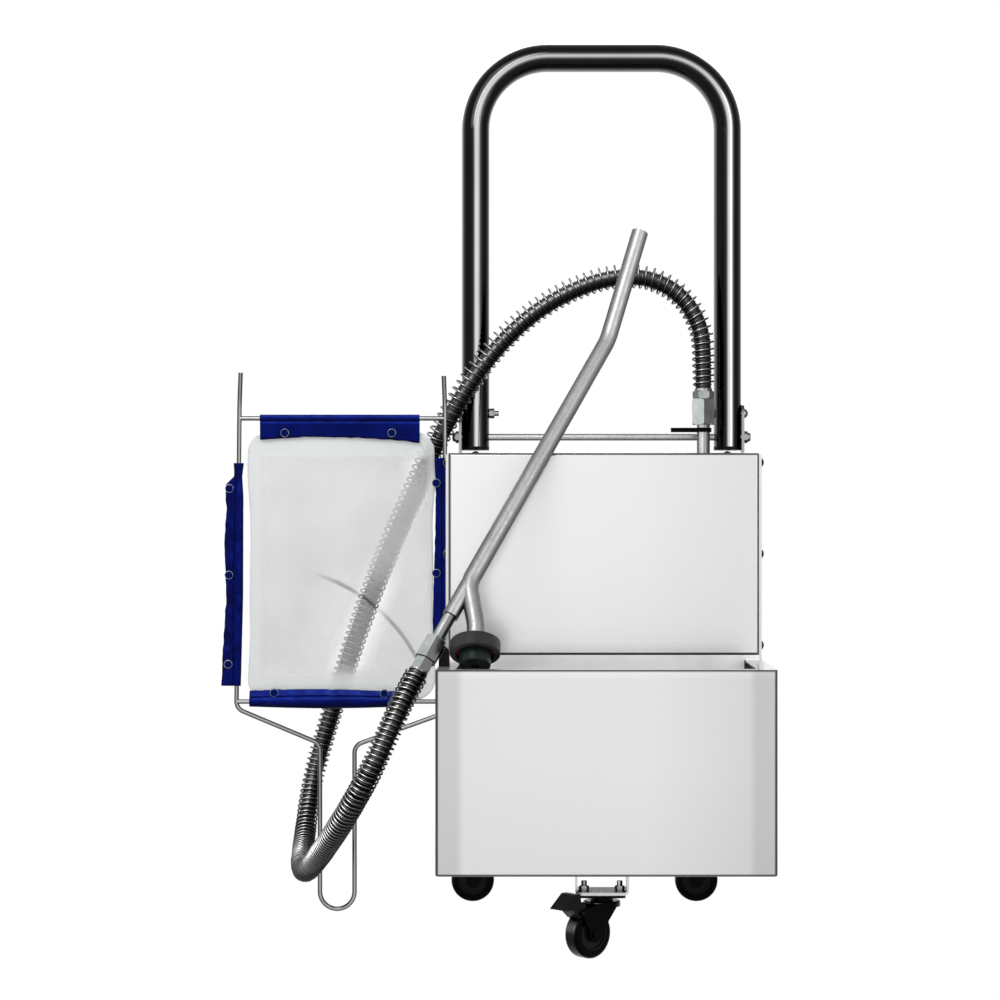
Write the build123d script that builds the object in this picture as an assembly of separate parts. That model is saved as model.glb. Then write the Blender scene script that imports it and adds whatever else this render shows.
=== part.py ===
from build123d import *
from math import asin, cos, pi, radians, tan, sin
import os

# Portable fryer-oil filter cart. Millimetres, +Z up.
# Cart frame while modelling: X = 0 on the cart's mid-plane, Y = 0 on the tank's front wall
# with +Y towards the handle, Z = 0 on the floor. The last step moves the whole model so that
# its origin is at the middle of its bounding box, on the floor.

# ---- Fits -------------------------------------------------------------------------------
RUN_FIT = 0.05          # radial clearance of anything that turns
BOLT_FIT = 0.2          # radial clearance of a bolt in its hole
SEAT_GAP = 0.3          # pieces that lie against each other without being fixed
CUT = 1.0               # overshoot of cutting tools

# ---- Oil tank and deck ------------------------------------------------------------------
TANK_W = 343.0
TANK_D = 475.0
TANK_BOTTOM = 87.0
TANK_TOP = 294.0
SHEET = 1.5
TANK_CORNER_R = 4.0
RIM_W = 18.8
HOUSING_SETBACK = 5.0
DECK_H = 5.4
DECK_APRON = 54.0
DECK_REAR_MARGIN = 3.0

# ---- Pump housing -----------------------------------------------------------------------
HOUSING_INSET = 3.5
HOUSING_D = 270.0
HOUSING_TOP = 517.8
HOUSING_R = 3.5
REAR_FLANGE = 12.0
SIDE_PANEL_T = 2.8
SIDE_PANEL_INSET = 3.0
SIDE_PANEL_DROP = 1.8

# ---- Dome-head screws -------------------------------------------------------------------
SCREW_HEAD_D = 11.0
SCREW_HEAD_H = 3.4
SCREW_SHANK_D = 5.0
SCREW_SHANK_L = 9.0
SCREW_IN = 15.0
SCREW_EDGE = 10.0
FOOT_SCREW_HEAD_H = 5.5

# ---- Handle -----------------------------------------------------------------------------
HANDLE_INSET = 22.0
HANDLE_IN = 70.0
HANDLE_OD = 31.8
HANDLE_WALL = 1.5
HANDLE_TOP = 998.0
HANDLE_BOTTOM = 531.3
HANDLE_BEND_R = 83.0
PLUG_FLANGE = 4.0
PLUG_DEPTH = 15.0
BRACKET_T = 3.0
BRACKET_W = 26.0
BRACKET_TOP = 580.0
BRACKET_FOOT_L = 35.0
ROD_D = 8.0
ROD_Z = 542.5
ROD_END = 6.0
CAP_NUT_AF = 12.0
CAP_NUT_L = 8.0
LOCK_Z = 570.0
LOCK_D = 6.0
LOCK_HEAD_D = 11.5
LOCK_HEAD_H = 5.0
LOCK_TIP = 5.0
LOCK_NUT_AF = 10.0
LOCK_NUT_H = 6.0

# ---- Motor and gear pump ----------------------------------------------------------------
PUMP_INSET = 51.4
PUMP_IN = 100.0
SHAFT_H = 75.0
MOTOR_D = 118.0
MOTOR_L = 150.0
MOTOR_WALL = 4.0
MOTOR_BESIDE = 56.6
MOTOR_FOOT_T = 6.0
MOTOR_FOOT_W = 128.0
STATOR_BORE = 66.0
STATOR_L = 80.0
ROTOR_GAP = 0.5
SHAFT_D = 14.0
SHAFT_OVERHANG = 6.0
GEAR_TEETH = 10
GEAR_MODULE = 3.0
GEAR_ADDENDUM = 2.1
GEAR_DEDENDUM = 2.9
GEAR_FACE = 20.0
TOOTH_AT_TIP = 1.9
TOOTH_AT_PITCH = 4.0
TOOTH_AT_ROOT = 5.0
GEAR_SIDE_GAP = 0.1
GEAR_TIP_GAP = 0.15
STUB_D = 10.0
STUB_L = 8.0
PUMP_L = 38.0
PUMP_H = 56.0
PUMP_MARGIN = 8.0
PUMP_LEG_W = 16.0
PIPE_OD = 15.0
PIPE_WALL = 2.0
SUCTION_END_GAP = 16.0
STRAINER_D = 34.0
STRAINER_H = 42.0
STRAINER_SLOT_W = 3.0
STRAINER_SLOTS = 8

# ---- Outlet pipe, valve lever and hose fittings ------------------------------------------
PIPE_HOLE_FIT = 0.5
LEVER_BOTTOM = 547.0
LEVER_H = 5.0
LEVER_COLLAR_D = 18.8
LEVER_REACH = 37.5
LEVER_ROOT_W = 9.0
LEVER_TIP_W = 6.0
UNION_BOTTOM = 555.4
UNION_H = 29.8
UNION_AF = 24.8
FERRULE_H = 9.1
FERRULE_AF = 21.5
COLLAR_D = 20.0
COLLAR_H = 2.7
PIPE_IN_UNION = 12.0
HOSE_OD = 18.0
HOSE_BORE = 9.0
GUARD_OD = 26.0
GUARD_FIT = 0.4
HOSE_STRAIGHT = 30.0
ARCH_POINTS = (            # beside the outlet's axis, height
    (0.0, 630.0),
    (-2.1, 667.0),
    (-23.1, 703.5),
    (-59.6, 724.8),
    (-104.6, 725.4),
    (-149.6, 710.5),
    (-195.6, 684.0),
    (-236.6, 645.0),
)
HANG_POINTS = (            # out from the frame's right wire, back from the outlet, height
    (-23.3, 0.3, 597.0),
    (6.7, 6.0, 544.0),
    (33.7, 21.0, 484.0),
    (63.7, 37.0, 420.0),
    (92.7, 55.0, 352.0),
    (116.7, 70.0, 286.0),
    (136.7, 82.0, 226.0),
    (151.7, 87.0, 178.0),
    (161.7, 83.0, 137.5),
    (165.7, 68.0, 100.5),
    (166.7, 40.0, 72.5),
    (165.2, 3.0, 58.0),
    (160.7, -40.0, 57.5),
    (151.7, -108.0, 58.5),
    (140.2, -178.0, 68.0),
    (123.7, -245.0, 88.0),
    (101.7, -300.0, 118.0),
    (78.7, -337.0, 154.0),
    (56.7, -353.5, 193.0),
    (38.2, -349.5, 234.0),
)

# ---- Wand -------------------------------------------------------------------------------
WAND_OD = 18.6
WAND_WALL = 2.0
WAND_REST_IN = 108.5
WAND_LEAN_X = 0.425
WAND_LEAN_Y = 0.477
WAND_LEAN_Z = 0.769
ELBOW_BELOW_REST = 186.3
BEND_ABOVE_REST = 160.8
WAND_TIP_OUT = Vector(36.7, 40.9, 124.1)
WAND_BEND_R = 60.0
ELBOW_R = 35.0
BRANCH_A = Vector(8.5, -26.5, -41.5)
BRANCH_B = Vector(0.0, -10.3, -17.2)
BRANCH_R = 60.0
SLEEVE_OD = 17.0
SLEEVE_BELOW_ELBOW = 42.7
NIPPLE_OD = 13.3
NIPPLE_BORE = 8.0
NIPPLE_IN_SLEEVE = 14.0
WAND_UNION_TOP = 260.3
WAND_UNION_L = 26.0
WAND_UNION_AF = 21.0
WAND_FERRULE_L = 15.0
WAND_FERRULE_AF = 17.5
WAND_COLLAR_L = 2.0
BELL_OD = 52.0
BELL_H = 15.5
BELL_BACK = 4.5
BELL_BORE = 40.0
BELL_EDGE_R = 2.0
BELL_HUB_INSET = 3.0
SEAL_BORE = 32.6
SEAL_H = 6.0
CORE_H = 24.0
REST_W = 11.0
REST_D = 15.0
REST_H = 19.5
REST_GAP = 0.5

# ---- Filter frame and bag ---------------------------------------------------------------
WIRE_D = 5.2
FRAME_IN = 118.0
FRAME_CLEAR = 7.8
FRAME_TOP_W = 234.2
FRAME_LOW_W = 237.7
ROD_KNEE_Z = 578.0
ROD_LEFT_LOW_Z = 231.0
ROD_RIGHT_LOW_Z = 226.0
TIP_LEFT_Z = 614.0
TIP_RIGHT_Z = 610.5
TIP_LEFT_SHIFT = 2.4
TIP_RIGHT_SHIFT = -0.8
TIP_FORWARD = 8.0
LOOP_LEFT_OUT = 142.4
LOOP_RIGHT_OUT = 103.0
LOOP_LEFT_Z = 191.0
LOOP_RIGHT_Z = 189.0
CORNER_R = 12.0
CROSS_TOP_Z = 562.0
CROSS_LOW_Z = 239.0
BAG_LEFT_OUT = 230.2
BAG_RIGHT_OUT = 14.7
BAG_LOW = 252.0
BAG_HIGH = 541.0
BAG_GAP = 0.3
BAG_T = 8.7
BAG_R = 14.0
SLEEVE_WALL = 1.1
FLAP_T = 4.0
TOP_SLEEVE = (210.7, 28.7)
TOP_SLEEVE_DROP = 24.5
LOW_SLEEVE = (222.7, 45.7)
LOW_SLEEVE_RISE = 16.0
LOW_SLEEVE_DROP = 7.0
LEFT_SLEEVE = (257.0, 511.0)
LEFT_FLAP_OUT = 15.0
LEFT_FLAP_IN = 8.0
RIGHT_SLEEVE = (309.0, 517.0)
RIGHT_FLAP_IN = 14.7
SNAP_D = 10.0
SNAP_H = 2.0
SNAP_PLACES = (
    (182.3, 545.4),
    (60.3, 545.4),
    (194.3, 249.2),
    (68.8, 248.4),
    (245.9, 383.4),
    (246.7, 281.8),
    (245.3, 482.0),
    (9.5, 488.3),
    (9.5, 385.6),
)

# ---- Casters ----------------------------------------------------------------------------
CASTER_INSET = 40.5
CASTER_IN = 41.0
CASTERS = {
    "front": (-4.0, 50.0, 222.4),
    "rear_left": (-TANK_W / 2 + CASTER_INSET, TANK_D - CASTER_IN, 180.0),
    "rear_right": (TANK_W / 2 - CASTER_INSET, TANK_D - CASTER_IN, 180.0),
}
WHEEL_D = 50.0
WHEEL_W = 18.0
WHEEL_EDGE_R = 4.0
WHEEL_TRAIL = 19.5
HUB_D = 33.0
HUB_DISH = 1.5
AXLE_D = 6.0
AXLE_HEAD_D = 9.0
AXLE_HEAD_H = 1.5
FORK_GAP = 0.8
FORK_T = 2.2
FORK_LEG_R = 8.0
CROWN_D = 38.0
CROWN_TOP = 56.9
CROWN_H = 5.7
CROWN_WEB = 2.7
CROWN_EDGE_R = 2.0
KINGPIN_D = 8.0
KINGPIN_HEAD_D = 13.0
KINGPIN_HEAD_H = 1.4
PLATE_W = 48.0
PLATE_D = 44.0
PLATE_T = 2.4
RACE_D = 24.0
RACE_GAP = 0.1
CHANNEL_W = 54.5
CHANNEL_D = 42.0
CHANNEL_T = 2.3
CHANNEL_FLOOR_T = 3.0
CHANNEL_BOTTOM = 64.0
CHANNEL_BEND_R = 5.0
CASTER_BOLT_D = 5.8
CASTER_BOLT_PITCH = 36.3
CASTER_BOLT_TIP = 76.6
CASTER_HEAD_D = 9.0
CASTER_HEAD_H = 2.2
CASTER_NUT_AF = 9.0
CASTER_NUT_H = 4.5
PEDAL_W = 19.0
PEDAL_PIN_D = 3.0
PEDAL_PIN_R = 36.5
PEDAL_PIN_Z = 48.0
PEDAL_TRAVEL = 12.0
PEDAL_OUTLINE = (
    (63.0, 53.0),
    (47.0, 67.5),
    (38.5, 67.5),
    (37.3, 59.5),
    (31.5, 57.0),
    (31.0, 52.0),
    (33.7, 48.0),
    (36.5, 45.0),
    (39.0, 42.6),
    (45.5, 48.5),
    (48.5, 52.0),
    (55.0, 52.0),
)

# ---- Rear panel fittings ----------------------------------------------------------------
LOUVRE_W = 90.0
LOUVRE_H = 5.0
LOUVRE_PITCH = 14.0
LOUVRES = 7
INLET_INSET = 73.0
INLET_Z = 350.0
INLET_W = 28.0
INLET_H = 48.0
INLET_DEPTH = 26.0
INLET_FLANGE = 5.0
INLET_FLANGE_T = 2.5
SWITCH_W = 20.0
SWITCH_H = 13.0
SWITCH_Z = 12.0
SWITCH_PIVOT_IN = 3.0
SWITCH_TILT = 9.0
SWITCH_PROUD = 1.4

# ---- Worked-out places ------------------------------------------------------------------
HOUSING_W = TANK_W - 2 * HOUSING_INSET
HOUSING_REAR = TANK_D - HOUSING_SETBACK
DECK_FRONT = HOUSING_REAR - HOUSING_D
SCREW_Y = DECK_FRONT + SCREW_IN
HANDLE_SPAN = HOUSING_W - 2 * HANDLE_INSET
HANDLE_Y = HOUSING_REAR - HANDLE_IN
PUMP_X = HOUSING_W / 2 - PUMP_INSET
PUMP_Y = HOUSING_REAR - PUMP_IN
MOTOR_RIGHT = PUMP_X - MOTOR_BESIDE
INLET_X = -HOUSING_W / 2 + INLET_INSET
DECK_TOP = TANK_TOP + DECK_H
SHAFT_Z = DECK_TOP + SHAFT_H
GEAR_PITCH_D = GEAR_TEETH * GEAR_MODULE
DRIVE_Y = PUMP_Y - GEAR_PITCH_D / 2
DRIVEN_Y = PUMP_Y + GEAR_PITCH_D / 2
UNION_TOP = UNION_BOTTOM + UNION_H
HOSE_START = UNION_TOP + FERRULE_H + COLLAR_H
WAND_REST_X = -TANK_W / 2 + WAND_REST_IN
WAND_DIR = Vector(WAND_LEAN_X, WAND_LEAN_Y, WAND_LEAN_Z).normalized()
WHEEL_R = WHEEL_D / 2
FORK_IN = WHEEL_W / 2 + FORK_GAP
FORK_OUT = FORK_IN + FORK_T
PANEL_X = HOUSING_W / 2 + SIDE_PANEL_T
SLEEVE_R = WIRE_D / 2 + SEAT_GAP + SLEEVE_WALL
FRAME_Y = HOUSING_REAR - FRAME_IN
ROD_RIGHT_X = -max(TANK_W / 2, PANEL_X) - FRAME_CLEAR
ROD_LEFT_TOP_X = ROD_RIGHT_X - FRAME_TOP_W
ROD_LEFT_LOW_X = ROD_RIGHT_X - FRAME_LOW_W
LOOP_LEFT_X = ROD_RIGHT_X - LOOP_LEFT_OUT
LOOP_RIGHT_X = ROD_RIGHT_X - LOOP_RIGHT_OUT
FLAP_FRONT = FRAME_Y - FLAP_T / 2


def box(x0, x1, y0, y1, z0, z1):
    """A block between two corners."""
    place = Pos((x0 + x1) / 2, (y0 + y1) / 2, (z0 + z1) / 2)
    return place * Box(x1 - x0, y1 - y0, z1 - z0)


def rod(start, end, radius):
    """A round bar from one point to another."""
    start = Vector(start)
    along = Vector(end) - start
    return extrude(Plane(origin=start, z_dir=along) * Circle(radius), amount=along.length)


def hex_bar(start, end, across_flats, turn=0.0):
    """A hexagonal bar from one point to another."""
    start = Vector(start)
    along = Vector(end) - start
    section = Rot(0, 0, turn) * RegularPolygon(across_flats / 2, 6, major_radius=False)
    return extrude(Plane(origin=start, z_dir=along) * section, amount=along.length)


def nut(start, end, across_flats, turn=0.0):
    """A hexagonal bar with its corners turned off at both ends."""
    corner_r = across_flats / 2 / cos(pi / 6)
    length = (Vector(end) - Vector(start)).length
    blank = rod(start, end, corner_r)
    turned = min((corner_r - across_flats / 2) * 0.8, 0.3 * length)
    blank = chamfer(blank.edges().filter_by(GeomType.CIRCLE), turned)
    return hex_bar(start, end, across_flats, turn) & blank


def tube(start, end, outer_r, inner_r):
    """A straight round tube."""
    return rod(start, end, outer_r) - rod(start, end, inner_r)


def bent_bar(points, radii, radius):
    """A round bar along straight runs joined by arcs."""
    path = FilletPolyline(*points, radius=radii)
    section = Plane(origin=path @ 0, z_dir=path % 0) * Circle(radius)
    return sweep(section, path=path)


def bent_tube(points, radii, outer_r, inner_r):
    """A round tube along straight runs joined by arcs."""
    path = FilletPolyline(*points, radius=radii)
    section = Plane(origin=path @ 0, z_dir=path % 0) * (Circle(outer_r) - Circle(inner_r))
    return sweep(section, path=path)


def dome_screw(seat, inward, head_d, head_h, shank_d, shank_l):
    """A dome-head screw whose head sits at seat and whose shank points inward."""
    seat = Vector(seat)
    inward = Vector(inward)
    head_r = head_d / 2
    dome_r = (head_r ** 2 + head_h ** 2) / (2 * head_h)
    dome = ThreePointArc((head_r, 0), (dome_r * sin(0.5 * asin(head_r / dome_r)),
                         head_h - dome_r * (1 - cos(0.5 * asin(head_r / dome_r)))), (0, head_h))
    outline = Plane.XZ * (dome + Line((0, head_h), (0, 0)) + Line((0, 0), (head_r, 0)))
    head = revolve(make_face(outline), axis=Axis.Z)
    screw = head + rod((0, 0, -shank_l), (0, 0, 0), shank_d / 2)
    return Plane(origin=seat, z_dir=inward * -1).location * screw


def cut_all(solids, tools):
    """Every solid with every tool taken away."""
    result = []
    for solid in solids:
        for tool in tools:
            solid = solid - tool
        result.append(solid)
    return result


def group(solids):
    """Separate solids that share one node."""
    flat = []
    for one in solids:
        flat.extend(one.solids())
    return Compound(flat)


# ---- Tank and housing -------------------------------------------------------------------
def make_tank():
    shell = box(-TANK_W / 2, TANK_W / 2, 0, TANK_D, TANK_BOTTOM, TANK_TOP)
    shell = fillet(shell.edges().filter_by(Axis.Z), TANK_CORNER_R)
    shell = fillet(shell.faces().sort_by(Axis.Z)[0].edges(), TANK_CORNER_R / 2)
    inner = box(-TANK_W / 2 + SHEET, TANK_W / 2 - SHEET, SHEET, TANK_D - SHEET,
                TANK_BOTTOM + SHEET, TANK_TOP - SHEET)
    inner = fillet(inner.edges().filter_by(Axis.Z), TANK_CORNER_R - SHEET)
    mouth = box(-TANK_W / 2 + RIM_W, TANK_W / 2 - RIM_W, RIM_W, TANK_D - RIM_W,
                TANK_TOP - SHEET - CUT, TANK_TOP + CUT)
    return shell - inner - mouth


def make_deck_plate():
    half = HOUSING_W / 2
    rear = TANK_D - DECK_REAR_MARGIN
    pan = box(-half, half, DECK_FRONT, rear, TANK_TOP, DECK_TOP)
    pan -= box(-half + SHEET, half - SHEET, DECK_FRONT + SHEET, rear - SHEET,
               TANK_TOP - CUT, DECK_TOP - SHEET)
    reach = TANK_W / 2 - RIM_W - CUT
    apron = box(-reach, reach, DECK_FRONT, DECK_FRONT + SHEET, TANK_TOP - DECK_APRON, TANK_TOP)
    hole = rod((PUMP_X, PUMP_Y, TANK_TOP - CUT), (PUMP_X, PUMP_Y, DECK_TOP + CUT),
               PIPE_OD / 2 + PIPE_HOLE_FIT)
    return pan + apron - hole


def screw_heights():
    low = DECK_TOP + SCREW_EDGE
    high = HOUSING_TOP - SCREW_EDGE
    return (low, (low + high) / 2, high)


def side_screw_tools(radius):
    holes = []
    for side in (-1, 1):
        for z in screw_heights():
            start = (side * (PANEL_X + CUT), SCREW_Y, z)
            end = (side * (HOUSING_W / 2 - SHEET - CUT), SCREW_Y, z)
            holes.append(rod(start, end, radius))
    return holes


def foot_screw_tools(radius):
    holes = []
    for side in (-1, 1):
        x = side * HANDLE_SPAN / 2
        start = (x, HANDLE_Y, HOUSING_TOP - SHEET - CUT)
        end = (x, HANDLE_Y, HOUSING_TOP + BRACKET_T + CUT)
        holes.append(rod(start, end, radius))
    return holes


def make_pump_housing():
    half = HOUSING_W / 2
    shell = box(-half, half, DECK_FRONT, HOUSING_REAR, DECK_TOP, HOUSING_TOP)
    front_edges = shell.edges().filter_by(Axis.Z).group_by(Axis.Y)[0]
    top_edge = shell.edges().filter_by(Axis.X).group_by(Axis.Z)[-1].sort_by(Axis.Y)[0]
    shell = fillet(front_edges + [top_edge], HOUSING_R)
    shell -= box(-half + SHEET, half - SHEET, DECK_FRONT + SHEET, HOUSING_REAR - SHEET,
                 DECK_TOP - CUT, HOUSING_TOP - SHEET)
    shell -= box(-half + REAR_FLANGE, half - REAR_FLANGE, HOUSING_REAR - SHEET - CUT,
                 HOUSING_REAR + CUT, DECK_TOP + REAR_FLANGE, HOUSING_TOP - REAR_FLANGE)
    shell -= rod((PUMP_X, PUMP_Y, HOUSING_TOP - SHEET - CUT),
                 (PUMP_X, PUMP_Y, HOUSING_TOP + CUT), PIPE_OD / 2 + PIPE_HOLE_FIT)
    for tool in side_screw_tools(SCREW_SHANK_D / 2 + BOLT_FIT):
        shell -= tool
    for tool in foot_screw_tools(SCREW_SHANK_D / 2 + BOLT_FIT):
        shell -= tool
    return shell


def make_side_panels():
    panels = []
    for side in (-1, 1):
        inside = side * HOUSING_W / 2
        outside = side * PANEL_X
        panel = box(min(inside, outside), max(inside, outside), DECK_FRONT + SIDE_PANEL_INSET,
                    HOUSING_REAR, TANK_TOP, HOUSING_TOP - SIDE_PANEL_DROP)
        panels.append(panel)
    return group(cut_all(panels, side_screw_tools(SCREW_SHANK_D / 2 + BOLT_FIT)))


def make_panel_screws():
    screws = []
    for side in (-1, 1):
        for z in screw_heights():
            screws.append(dome_screw((side * PANEL_X, SCREW_Y, z), (-side, 0, 0), SCREW_HEAD_D,
                                     SCREW_HEAD_H, SCREW_SHANK_D, SCREW_SHANK_L))
        seat = (side * HANDLE_SPAN / 2, HANDLE_Y, HOUSING_TOP + BRACKET_T)
        screws.append(dome_screw(seat, (0, 0, -1), SCREW_HEAD_D, FOOT_SCREW_HEAD_H,
                                 SCREW_SHANK_D, SCREW_SHANK_L))
    return group(screws)


def inlet_cut():
    return box(INLET_X - INLET_W / 2, INLET_X + INLET_W / 2, HOUSING_REAR - CUT,
               HOUSING_REAR + SHEET + CUT, INLET_Z - INLET_H / 2, INLET_Z + INLET_H / 2)


def make_rear_panel():
    half = HOUSING_W / 2
    plate = box(-half, half, HOUSING_REAR, HOUSING_REAR + SHEET, DECK_TOP, HOUSING_TOP)
    plate -= inlet_cut()
    middle = (DECK_TOP + HOUSING_TOP) / 2
    for row in range(LOUVRES):
        z = middle + (row - (LOUVRES - 1) / 2) * LOUVRE_PITCH
        slot = SlotOverall(LOUVRE_W, LOUVRE_H)
        for x in (0, LOUVRE_W + LOUVRE_PITCH):
            cutter = Plane(origin=(x, HOUSING_REAR - CUT, z), x_dir=(1, 0, 0), z_dir=(0, 1, 0))
            plate -= extrude(cutter * slot, amount=SHEET + 2 * CUT)
    return plate


def make_power_inlet():
    rear = HOUSING_REAR + SHEET
    body = box(INLET_X - INLET_W / 2 + SEAT_GAP, INLET_X + INLET_W / 2 - SEAT_GAP,
               rear - INLET_DEPTH, rear, INLET_Z - INLET_H / 2 + SEAT_GAP,
               INLET_Z + INLET_H / 2 - SEAT_GAP)
    flange = box(INLET_X - INLET_W / 2 - INLET_FLANGE, INLET_X + INLET_W / 2 + INLET_FLANGE, rear,
                 rear + INLET_FLANGE_T, INLET_Z - INLET_H / 2 - INLET_FLANGE,
                 INLET_Z + INLET_H / 2 + INLET_FLANGE)
    flange = fillet(flange.edges().filter_by(Axis.Y), INLET_FLANGE / 2)
    face = rear + INLET_FLANGE_T
    well = box(INLET_X - SWITCH_W / 2 - SEAT_GAP, INLET_X + SWITCH_W / 2 + SEAT_GAP,
               face - INLET_DEPTH / 2, face + CUT, INLET_Z + SWITCH_Z - SWITCH_H / 2 - SEAT_GAP,
               INLET_Z + SWITCH_Z + SWITCH_H / 2 + SEAT_GAP)
    socket_z = INLET_Z - SWITCH_Z + SEAT_GAP
    socket = box(INLET_X - SWITCH_W / 2, INLET_X + SWITCH_W / 2, face - INLET_DEPTH / 2,
                 face + CUT, socket_z - SWITCH_H / 2, socket_z + SWITCH_H / 2)
    pins = []
    for x, z in ((-SWITCH_W / 4, -SWITCH_H / 6), (0, SWITCH_H / 6), (SWITCH_W / 4, -SWITCH_H / 6)):
        pins.append(box(INLET_X + x - 1, INLET_X + x + 1, face - INLET_DEPTH / 2,
                        face - INLET_FLANGE, socket_z + z - 2, socket_z + z + 2))
    axle = rod((INLET_X - SWITCH_W / 2 - CUT, face - SWITCH_PIVOT_IN, INLET_Z + SWITCH_Z),
               (INLET_X + SWITCH_W / 2 + CUT, face - SWITCH_PIVOT_IN, INLET_Z + SWITCH_Z), 1.0)
    return body + flange - well - socket + pins[0] + pins[1] + pins[2] + axle


def make_power_switch():
    face = HOUSING_REAR + SHEET + INLET_FLANGE_T
    z = INLET_Z + SWITCH_Z
    pivot_y = face - SWITCH_PIVOT_IN
    reach = SWITCH_H / 2 - SEAT_GAP
    outline = Polyline(
        (pivot_y - SWITCH_PIVOT_IN, z - reach * 0.55),
        (face + SWITCH_PROUD * 0.6, z - reach),
        (face, z),
        (face + SWITCH_PROUD * 0.6, z + reach),
        (pivot_y - SWITCH_PIVOT_IN, z + reach * 0.55),
        close=True,
    )
    side = Plane(origin=(INLET_X - SWITCH_W / 2 + SEAT_GAP, 0, 0), x_dir=(0, 1, 0), z_dir=(1, 0, 0))
    rocker = extrude(side * make_face(outline), amount=SWITCH_W - 2 * SEAT_GAP)
    hole = rod((INLET_X - SWITCH_W, pivot_y, z), (INLET_X + SWITCH_W, pivot_y, z), 1.0 + RUN_FIT)
    return rocker - hole


# ---- Handle -----------------------------------------------------------------------------
def make_handle_tube():
    half = HANDLE_SPAN / 2
    top = HANDLE_TOP - HANDLE_OD / 2
    points = [(-half, HANDLE_Y, HANDLE_BOTTOM), (-half, HANDLE_Y, top),
              (half, HANDLE_Y, top), (half, HANDLE_Y, HANDLE_BOTTOM)]
    bar = bent_tube(points, HANDLE_BEND_R, HANDLE_OD / 2, HANDLE_OD / 2 - HANDLE_WALL)
    for side in (-1, 1):
        near = side * (half - HANDLE_OD)
        far = side * (half + HANDLE_OD)
        bar -= rod((near, HANDLE_Y, ROD_Z), (far, HANDLE_Y, ROD_Z), ROD_D / 2 + BOLT_FIT)
        bar -= rod((near, HANDLE_Y, LOCK_Z), (far, HANDLE_Y, LOCK_Z), LOCK_D / 2 + BOLT_FIT)
    return bar


def make_handle_plugs():
    plugs = []
    inner_r = HANDLE_OD / 2 - HANDLE_WALL
    for side in (-1, 1):
        x = side * HANDLE_SPAN / 2
        foot = HANDLE_BOTTOM - PLUG_FLANGE
        plug = rod((x, HANDLE_Y, foot), (x, HANDLE_Y, HANDLE_BOTTOM), HANDLE_OD / 2)
        plug += rod((x, HANDLE_Y, HANDLE_BOTTOM), (x, HANDLE_Y, ROD_Z - ROD_D / 2 - 2 * CUT),
                    inner_r - RUN_FIT)
        plugs.append(plug)
    return group(plugs)


def make_handle_brackets():
    brackets = []
    ear_x = HANDLE_SPAN / 2 + HANDLE_OD / 2 + RUN_FIT
    for side in (-1, 1):
        near = side * ear_x
        far = side * (ear_x + BRACKET_T)
        ear = box(min(near, far), max(near, far), HANDLE_Y - BRACKET_W / 2,
                  HANDLE_Y + BRACKET_W / 2, HOUSING_TOP, BRACKET_TOP)
        top_edges = ear.edges().filter_by(Axis.X).group_by(Axis.Z)[-1]
        ear = fillet(top_edges, BRACKET_W / 2 - CUT)
        inner = side * (ear_x + BRACKET_T - BRACKET_FOOT_L)
        foot = box(min(inner, far), max(inner, far), HANDLE_Y - BRACKET_W / 2,
                   HANDLE_Y + BRACKET_W / 2, HOUSING_TOP, HOUSING_TOP + BRACKET_T)
        bracket = ear + foot
        bracket -= rod((near - side * CUT, HANDLE_Y, ROD_Z), (far + side * CUT, HANDLE_Y, ROD_Z),
                       ROD_D / 2 + BOLT_FIT)
        bracket -= rod((near - side * CUT, HANDLE_Y, LOCK_Z), (far + side * CUT, HANDLE_Y, LOCK_Z),
                       LOCK_D / 2 + BOLT_FIT)
        brackets.append(bracket)
    return group(cut_all(brackets, foot_screw_tools(SCREW_SHANK_D / 2 + BOLT_FIT)))


def ear_outside():
    return HANDLE_SPAN / 2 + HANDLE_OD / 2 + RUN_FIT + BRACKET_T


def make_cross_rod():
    end = ear_outside() + ROD_END
    return rod((-end, HANDLE_Y, ROD_Z), (end, HANDLE_Y, ROD_Z), ROD_D / 2)


def make_cap_nuts():
    nuts = []
    for side in (-1, 1):
        start = side * ear_outside()
        middle = start + side * CAP_NUT_L * 0.55
        end = start + side * CAP_NUT_L
        base = nut((start, HANDLE_Y, ROD_Z), (middle, HANDLE_Y, ROD_Z), CAP_NUT_AF)
        cap = rod((middle, HANDLE_Y, ROD_Z), (end, HANDLE_Y, ROD_Z), CAP_NUT_AF / 2 - 0.6)
        rim = cap.edges().filter_by(GeomType.CIRCLE).sort_by(Axis.X)
        cap = fillet(rim[-1] if side > 0 else rim[0], 2.6)
        hole = rod((start - side * CUT, HANDLE_Y, ROD_Z),
                   (start + side * (ROD_END + SEAT_GAP), HANDLE_Y, ROD_Z), ROD_D / 2 + RUN_FIT)
        nuts.append(base + cap - hole)
    return group(nuts)


def lock_inner_face():
    return HANDLE_SPAN / 2 - HANDLE_OD / 2


def make_handle_bolts():
    bolts = []
    for side in (-1, 1):
        seat = side * ear_outside()
        length = ear_outside() - lock_inner_face() + LOCK_NUT_H + LOCK_TIP
        bolts.append(dome_screw((seat, HANDLE_Y, LOCK_Z), (-side, 0, 0), LOCK_HEAD_D,
                                LOCK_HEAD_H, LOCK_D, length))
    return group(bolts)


def make_handle_nuts():
    nuts = []
    for side in (-1, 1):
        start = (side * (lock_inner_face() - RUN_FIT), HANDLE_Y, LOCK_Z)
        end = (side * (lock_inner_face() - LOCK_NUT_H), HANDLE_Y, LOCK_Z)
        hole = rod((side * HANDLE_SPAN / 2, HANDLE_Y, LOCK_Z), (0, HANDLE_Y, LOCK_Z),
                   LOCK_D / 2 + RUN_FIT)
        nuts.append(nut(start, end, LOCK_NUT_AF) - hole)
    return group(nuts)


# ---- Motor and pump ---------------------------------------------------------------------
def motor_left():
    return MOTOR_RIGHT - MOTOR_L


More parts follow.
